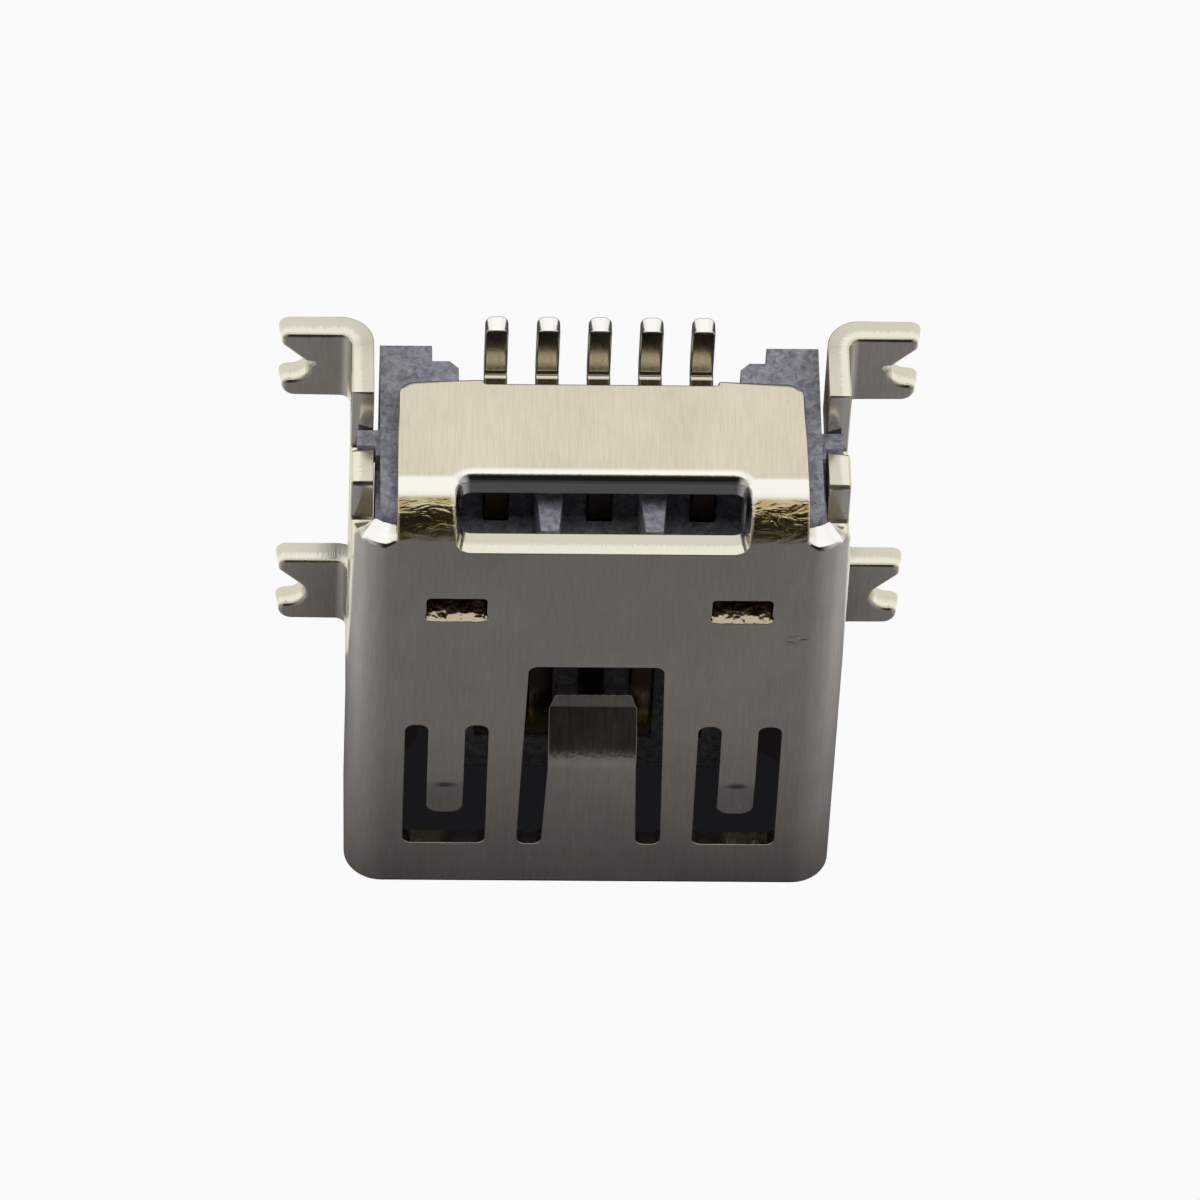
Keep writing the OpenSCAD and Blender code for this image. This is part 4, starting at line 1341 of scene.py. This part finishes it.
@dataclass
class Housing:
    """The moulding, taken from its solid and given the small edge radii of the mould."""

    edge_r: float = 0.025
    edge_steps: int = 2
    sharp_deg: float = 35.0
    flat_deg: float = 1.0
    weld: float = 0.0005

    def build(self) -> bpy.types.Object:
        """Round the edges of a copy of the solid and give it its finish.

        Returns:
            The housing.
        """
        bm = bmesh.new()
        bm.from_mesh(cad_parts["housing"].data)
        bmesh.ops.remove_doubles(bm, verts=bm.verts, dist=self.weld * MM)
        bmesh.ops.dissolve_limit(bm, angle_limit=math.radians(self.flat_deg), verts=bm.verts,
                                 edges=bm.edges)
        mesh = bpy.data.meshes.new("housing_solid")
        bm.to_mesh(mesh)
        bm.free()
        rough = link_object("housing_solid", mesh)
        mesh.polygons.foreach_set("use_smooth", [True] * len(mesh.polygons))
        bevel = rough.modifiers.new("edges", "BEVEL")
        bevel.width = self.edge_r * MM
        bevel.segments = self.edge_steps
        bevel.limit_method = "ANGLE"
        bevel.angle_limit = math.radians(self.sharp_deg)
        bevel.harden_normals = True
        housing = baked(rough, "moulded_housing")
        housing.data.materials.clear()
        housing.data.materials.append(MouldedPolymer().material())
        return housing


@dataclass
class Studio:
    """Pale floor, soft light and the camera, set as in the photograph."""

    floor_z: float = -0.8
    floor_half: float = 400.0
    toward: tuple[float, float, float] = (-0.0360, 0.7707, 0.6361)
    up: tuple[float, float, float] = (-0.0076, 0.6363, -0.7714)
    target: tuple[float, float, float] = (0.108, -1.2313, 1.8834)
    distance: float = 166.6
    half_view: float = 0.05644
    sensor: float = 36.0
    # Far end of the view, in half sizes of the floor
    clip_far: float = 10.0
    # The floor, and the share of it that glows white where it is seen: the rest takes light and shadow
    paper: str = "#f4f4f4"
    glow_share: float = 0.94
    # The socket's shade on the floor: its middle in Y, half sizes, soft edges and brightness
    under_at: float = -1.2
    under_half: tuple[float, float] = (3.9, 4.7)
    under_soft: tuple[float, float] = (0.4, 1.6)
    under_level: float = 0.08
    lamp_at: tuple[float, float, float] = (20.0, 190.0, 56.0)
    lamp_size: tuple[float, float] = (220.0, 105.0)
    lamp_power: float = 0.25
    # Grey of the room's sides, the sideways reach over which it comes in, and how much of it
    side_grey: float = 0.7
    side_span: tuple[float, float] = (0.22, 0.8)
    side_share: float = 0.6
    # Line of the shell's mouth in X and Z, and the levels that the cards are set to
    mouth: list[tuple[float, float]] = field(default_factory=list)
    mouth_y: float = 0.0
    top_z: float = 0.0
    card_gap: float = 0.025
    # Dark grey that the mouth card glows with: painted shade, the table in shadow seen inside the mouth
    mouth_shade_tone: str = "#18181a"
    table_tone: str = "#f0efff"
    table_half: float = 60.0
    table_top: float = 30.0
    table_fade: float = 10.5
    # Brightness of the table at the top wall and further off, in the shade and in the light at the sides
    shade: tuple[float, float] = (0.07, 0.2)
    lit: tuple[float, float] = (0.52, 0.36)
    shade_l: float = 3.2
    shade_x: tuple[float, float] = (3.2, 9.0)

    def card(self, name: str, finish: str,
             corners: Sequence[tuple[float, float, float]]) -> bpy.types.NodeTree:
        """Set up a flat piece of the stage.

        Args:
            name: Name of the piece.
            finish: Name of its material.
            corners: Its corners, anticlockwise as seen from its front.

        Returns:
            The empty node tree of its material.
        """
        mesh = bpy.data.meshes.new(name)
        mesh.from_pydata([(x * MM, y * MM, z * MM) for x, y, z in corners], [], [range(len(corners))])
        obj = link_object(name, mesh)
        mat = bpy.data.materials.new(finish)
        mat.use_nodes = True
        mat.node_tree.nodes.clear()
        mesh.materials.append(mat)
        return mat.node_tree

    def floor(self) -> None:
        """Lay the floor, white where the camera or a reflection sees it, with the shadow kept."""
        h, z = self.floor_half, self.floor_z
        tree = self.card("floor", "white_paper", [(-h, -h, z), (h, -h, z), (h, h, z), (-h, h, z)])
        share = add(tree, "ShaderNodeMath", {0: self.seen(tree), 1: self.glow_share}, operation="MULTIPLY")
        paper = add(tree, "ShaderNodeBsdfDiffuse", {"Color": linear(self.paper)})
        # Under the socket, reflections see its shade
        place = add(tree, "ShaderNodeTexCoord").outputs["Object"]
        shift = add(tree, "ShaderNodeMapping", {"Vector": place, "Location": (0, -self.under_at, 0),
                                                "Scale": (1 / MM, 1 / MM, 0)})
        half = add(tree, "ShaderNodeVectorMath", {0: shift.outputs[0]}, operation="ABSOLUTE")
        soft = [1 / s for s in self.under_soft]
        edge = [-size * s for size, s in zip(self.under_half, soft)]
        off = add(tree, "ShaderNodeVectorMath", {0: half.outputs[0], 1: (*soft, 0), 2: (*edge, 0)},
                  operation="MULTIPLY_ADD")
        axes = add(tree, "ShaderNodeSeparateXYZ", {0: off.outputs[0]})
        far = add(tree, "ShaderNodeMath", {0: axes.outputs[0], 1: axes.outputs[1]}, operation="MAXIMUM")
        level = add(tree, "ShaderNodeMapRange", {"Value": far.outputs[0], "To Min": self.under_level})
        eye = add(tree, "ShaderNodeLightPath").outputs["Is Camera Ray"]
        white = add(tree, "ShaderNodeMath", {0: level.outputs[0], 1: eye}, operation="MAXIMUM")
        glow = add(tree, "ShaderNodeEmission", {"Color": WHITE, "Strength": white.outputs[0]})
        both = add(tree, "ShaderNodeMixShader",
                   {0: share.outputs[0], 1: paper.outputs[0], 2: glow.outputs[0]})
        add(tree, "ShaderNodeOutputMaterial", {"Surface": both.outputs[0]})

    def one_sided(self, tree: bpy.types.NodeTree, glow: bpy.types.NodeSocket,
                  shown: bpy.types.NodeSocket | float) -> None:
        """Finish a card that shows from the rear only, and not to a ray that came in through the mouth.

        Args:
            tree: The card's node tree.
            glow: The shader that it shows.
            shown: One for the rays that it shows to.
        """
        behind = add(tree, "ShaderNodeNewGeometry").outputs["Backfacing"]
        passed = add(tree, "ShaderNodeLightPath").outputs["Transparent Depth"]
        either = add(tree, "ShaderNodeMath", {0: behind, 1: passed}, operation="MAXIMUM", use_clamp=True)
        solid = add(tree, "ShaderNodeMath", {0: shown, 1: either.outputs[0]}, operation="SUBTRACT",
                    use_clamp=True)
        clear = add(tree, "ShaderNodeBsdfTransparent")
        both = add(tree, "ShaderNodeMixShader", {0: solid.outputs[0], 1: clear.outputs[0], 2: glow})
        add(tree, "ShaderNodeOutputMaterial", {"Surface": both.outputs[0]})

    def table(self) -> None:
        """Stand in for the table of the photograph, on which the socket rests with its mouth.

        One card closes the mouth with a dark grey glow, painted shade seen inside it. The other is seen in
        reflections only, a painted reflection: the socket's own shade, dark where the top wall meets the
        table, with the lit table beside it.
        """
        y = self.mouth_y + self.card_gap
        tree = self.card("mouth_shade_card", "mouth_shade_card", [(x, y, z) for x, z in self.mouth])
        grey = add(tree, "ShaderNodeEmission", {"Color": linear(self.mouth_shade_tone), "Strength": 1.0})
        self.one_sided(tree, grey.outputs[0], 1.0)

        half, low, top = self.table_half, self.floor_z, self.table_top
        y = self.mouth_y - self.card_gap
        corners = [(half, y, top), (half, y, low), (-half, y, low), (-half, y, top)]
        tree = self.card("table_card", "table_card", corners)
        place = add(tree, "ShaderNodeTexCoord").outputs["Object"]
        axes = add(tree, "ShaderNodeSeparateXYZ", {0: place})
        start, end = self.top_z * MM, (self.top_z + self.shade_l) * MM
        shade, bright = (add(tree, "ShaderNodeMapRange",
                             {"Value": axes.outputs[2], "From Min": start, "From Max": end,
                              "To Min": near, "To Max": far}) for near, far in (self.shade, self.lit))
        aside = add(tree, "ShaderNodeMath", {0: axes.outputs[0]}, operation="ABSOLUTE")
        open_x, lit_x = self.shade_x
        lit = add(tree, "ShaderNodeMapRange", {"Value": aside.outputs[0], "From Min": open_x * MM,
                                               "From Max": lit_x * MM})
        level = add(tree, "ShaderNodeMix", {0: lit.outputs[0], 2: shade.outputs[0], 3: bright.outputs[0]})
        fade = add(tree, "ShaderNodeMapRange", {"Value": axes.outputs[2], "From Min": self.table_top * MM,
                                                "From Max": self.table_fade * MM})
        dim = add(tree, "ShaderNodeMath", {0: level.outputs[0], 1: fade.outputs[0]}, operation="MULTIPLY")
        glow = add(tree, "ShaderNodeEmission", {"Color": linear(self.table_tone), "Strength": dim.outputs[0]})
        mirrored = add(tree, "ShaderNodeLightPath").outputs["Is Glossy Ray"]
        self.one_sided(tree, glow.outputs[0], mirrored)

    def seen(self, tree: bpy.types.NodeTree) -> bpy.types.NodeSocket:
        """Tell the rays of the camera, reflections and see-through parts from those that light things.

        Args:
            tree: The node tree that asks.

        Returns:
            One for a ray that shows something, nought for one that lights it.
        """
        path = add(tree, "ShaderNodeLightPath").outputs
        shown = path["Is Camera Ray"]
        for ray in ("Is Glossy Ray", "Is Transmission Ray"):
            shown = add(tree, "ShaderNodeMath", {0: shown, 1: path[ray]}, operation="MAXIMUM").outputs[0]
        return shown

    def light(self) -> None:
        """Set the world, a room white at the rear and dim elsewhere, and one soft lamp at the rear."""
        world = bpy.data.worlds.new("studio")
        bpy.context.scene.world = world
        world.use_nodes = True
        tree = world.node_tree
        tree.nodes.clear()
        way = add(tree, "ShaderNodeSeparateXYZ", {0: add(tree, "ShaderNodeTexCoord").outputs["Generated"]})
        turn = add(tree, "ShaderNodeMath", {0: way.outputs[2], 1: way.outputs[1]}, operation="ARCTAN2")
        part = add(tree, "ShaderNodeMath", {0: turn.outputs[0], 1: math.pi}, operation="DIVIDE")
        ramp = add(tree, "ShaderNodeValToRGB", {0: part.outputs[0]})
        band = ramp.color_ramp.elements
        for i, (at, tint) in enumerate(ROOM):
            # A new ramp already has two stops
            stop = band[i] if i < 2 else band.new(at)
            stop.position = at
            stop.color = (*tint, 1.0)
        out = add(tree, "ShaderNodeMath", {0: way.outputs[0]}, operation="ABSOLUTE")
        low, high = self.side_span
        side = add(tree, "ShaderNodeMapRange", {"Value": out.outputs[0], "From Min": low, "From Max": high,
                                                "To Max": self.side_share}, interpolation_type="SMOOTHSTEP")
        eye = add(tree, "ShaderNodeLightPath").outputs["Is Camera Ray"]
        colour = ramp.outputs[0]
        for share, tint in ((side.outputs[0], (*[self.side_grey] * 3, 1.0)), (eye, WHITE)):
            colour = add(tree, "ShaderNodeMix", {0: share, 6: colour, 7: tint}, data_type="RGBA").outputs[2]
        back = add(tree, "ShaderNodeBackground", {"Color": colour, "Strength": 1.0})
        add(tree, "ShaderNodeOutputWorld", {"Surface": back.outputs[0]})

        lamp = bpy.data.lights.new("rear_softbox", "AREA")
        lamp.shape = "RECTANGLE"
        lamp.size, lamp.size_y = (size * MM for size in self.lamp_size)
        lamp.energy = self.lamp_power
        obj = bpy.data.objects.new("rear_softbox", lamp)
        # In reflections the white room stands for the lamp, so that plated faces don't clip
        obj.visible_glossy = False
        bpy.context.scene.collection.objects.link(obj)
        at = Vector(self.lamp_at)
        obj.matrix_world = Matrix.Translation(at * MM) @ at.to_track_quat("Z", "Y").to_matrix().to_4x4()

    def camera(self) -> None:
        """Place the camera at the photograph's viewing angle."""
        data = bpy.data.cameras.new("camera")
        data.sensor_width = self.sensor
        data.lens = self.sensor / 2 / self.half_view
        data.clip_start = MM
        data.clip_end = self.floor_half * MM * self.clip_far
        obj = bpy.data.objects.new("camera", data)
        bpy.context.scene.collection.objects.link(obj)
        toward = Vector(self.toward).normalized()
        right = Vector(self.up).cross(toward).normalized()
        up = toward.cross(right)
        turn = Matrix((right, up, toward)).transposed()
        place = Vector(self.target) + toward * self.distance
        obj.matrix_world = Matrix.Translation(place * MM) @ turn.to_4x4()
        bpy.context.scene.camera = obj

    def build(self) -> None:
        """Set up the floor, the table, the light, the camera and the view transform."""
        self.floor()
        self.table()
        self.light()
        self.camera()
        bpy.context.scene.view_settings.view_transform = "Standard"


def main() -> None:
    """Build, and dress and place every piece."""
    logging.basicConfig(level=logging.INFO, format="%(name)s: %(message)s")
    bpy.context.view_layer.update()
    shell, contacts = Shell(), Contacts()
    pieces = ((shell.build(), "plated_sheet", ["shell"]), (Housing().build(), "moulding", ["housing"]),
              (contacts.build(), "plated_contact", [f"contact_{i + 1}" for i in range(contacts.count)]))
    for piece, slot, nodes in pieces:
        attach(piece, BODY)
        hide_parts(*nodes)
        LOG.info("%s: %d faces", piece.name, len(piece.data.polygons))
    Studio(mouth=shell.mouth_line(), mouth_y=shell.mouth_y, top_z=shell.top_z).build()


if __name__ == "__main__":
    main()
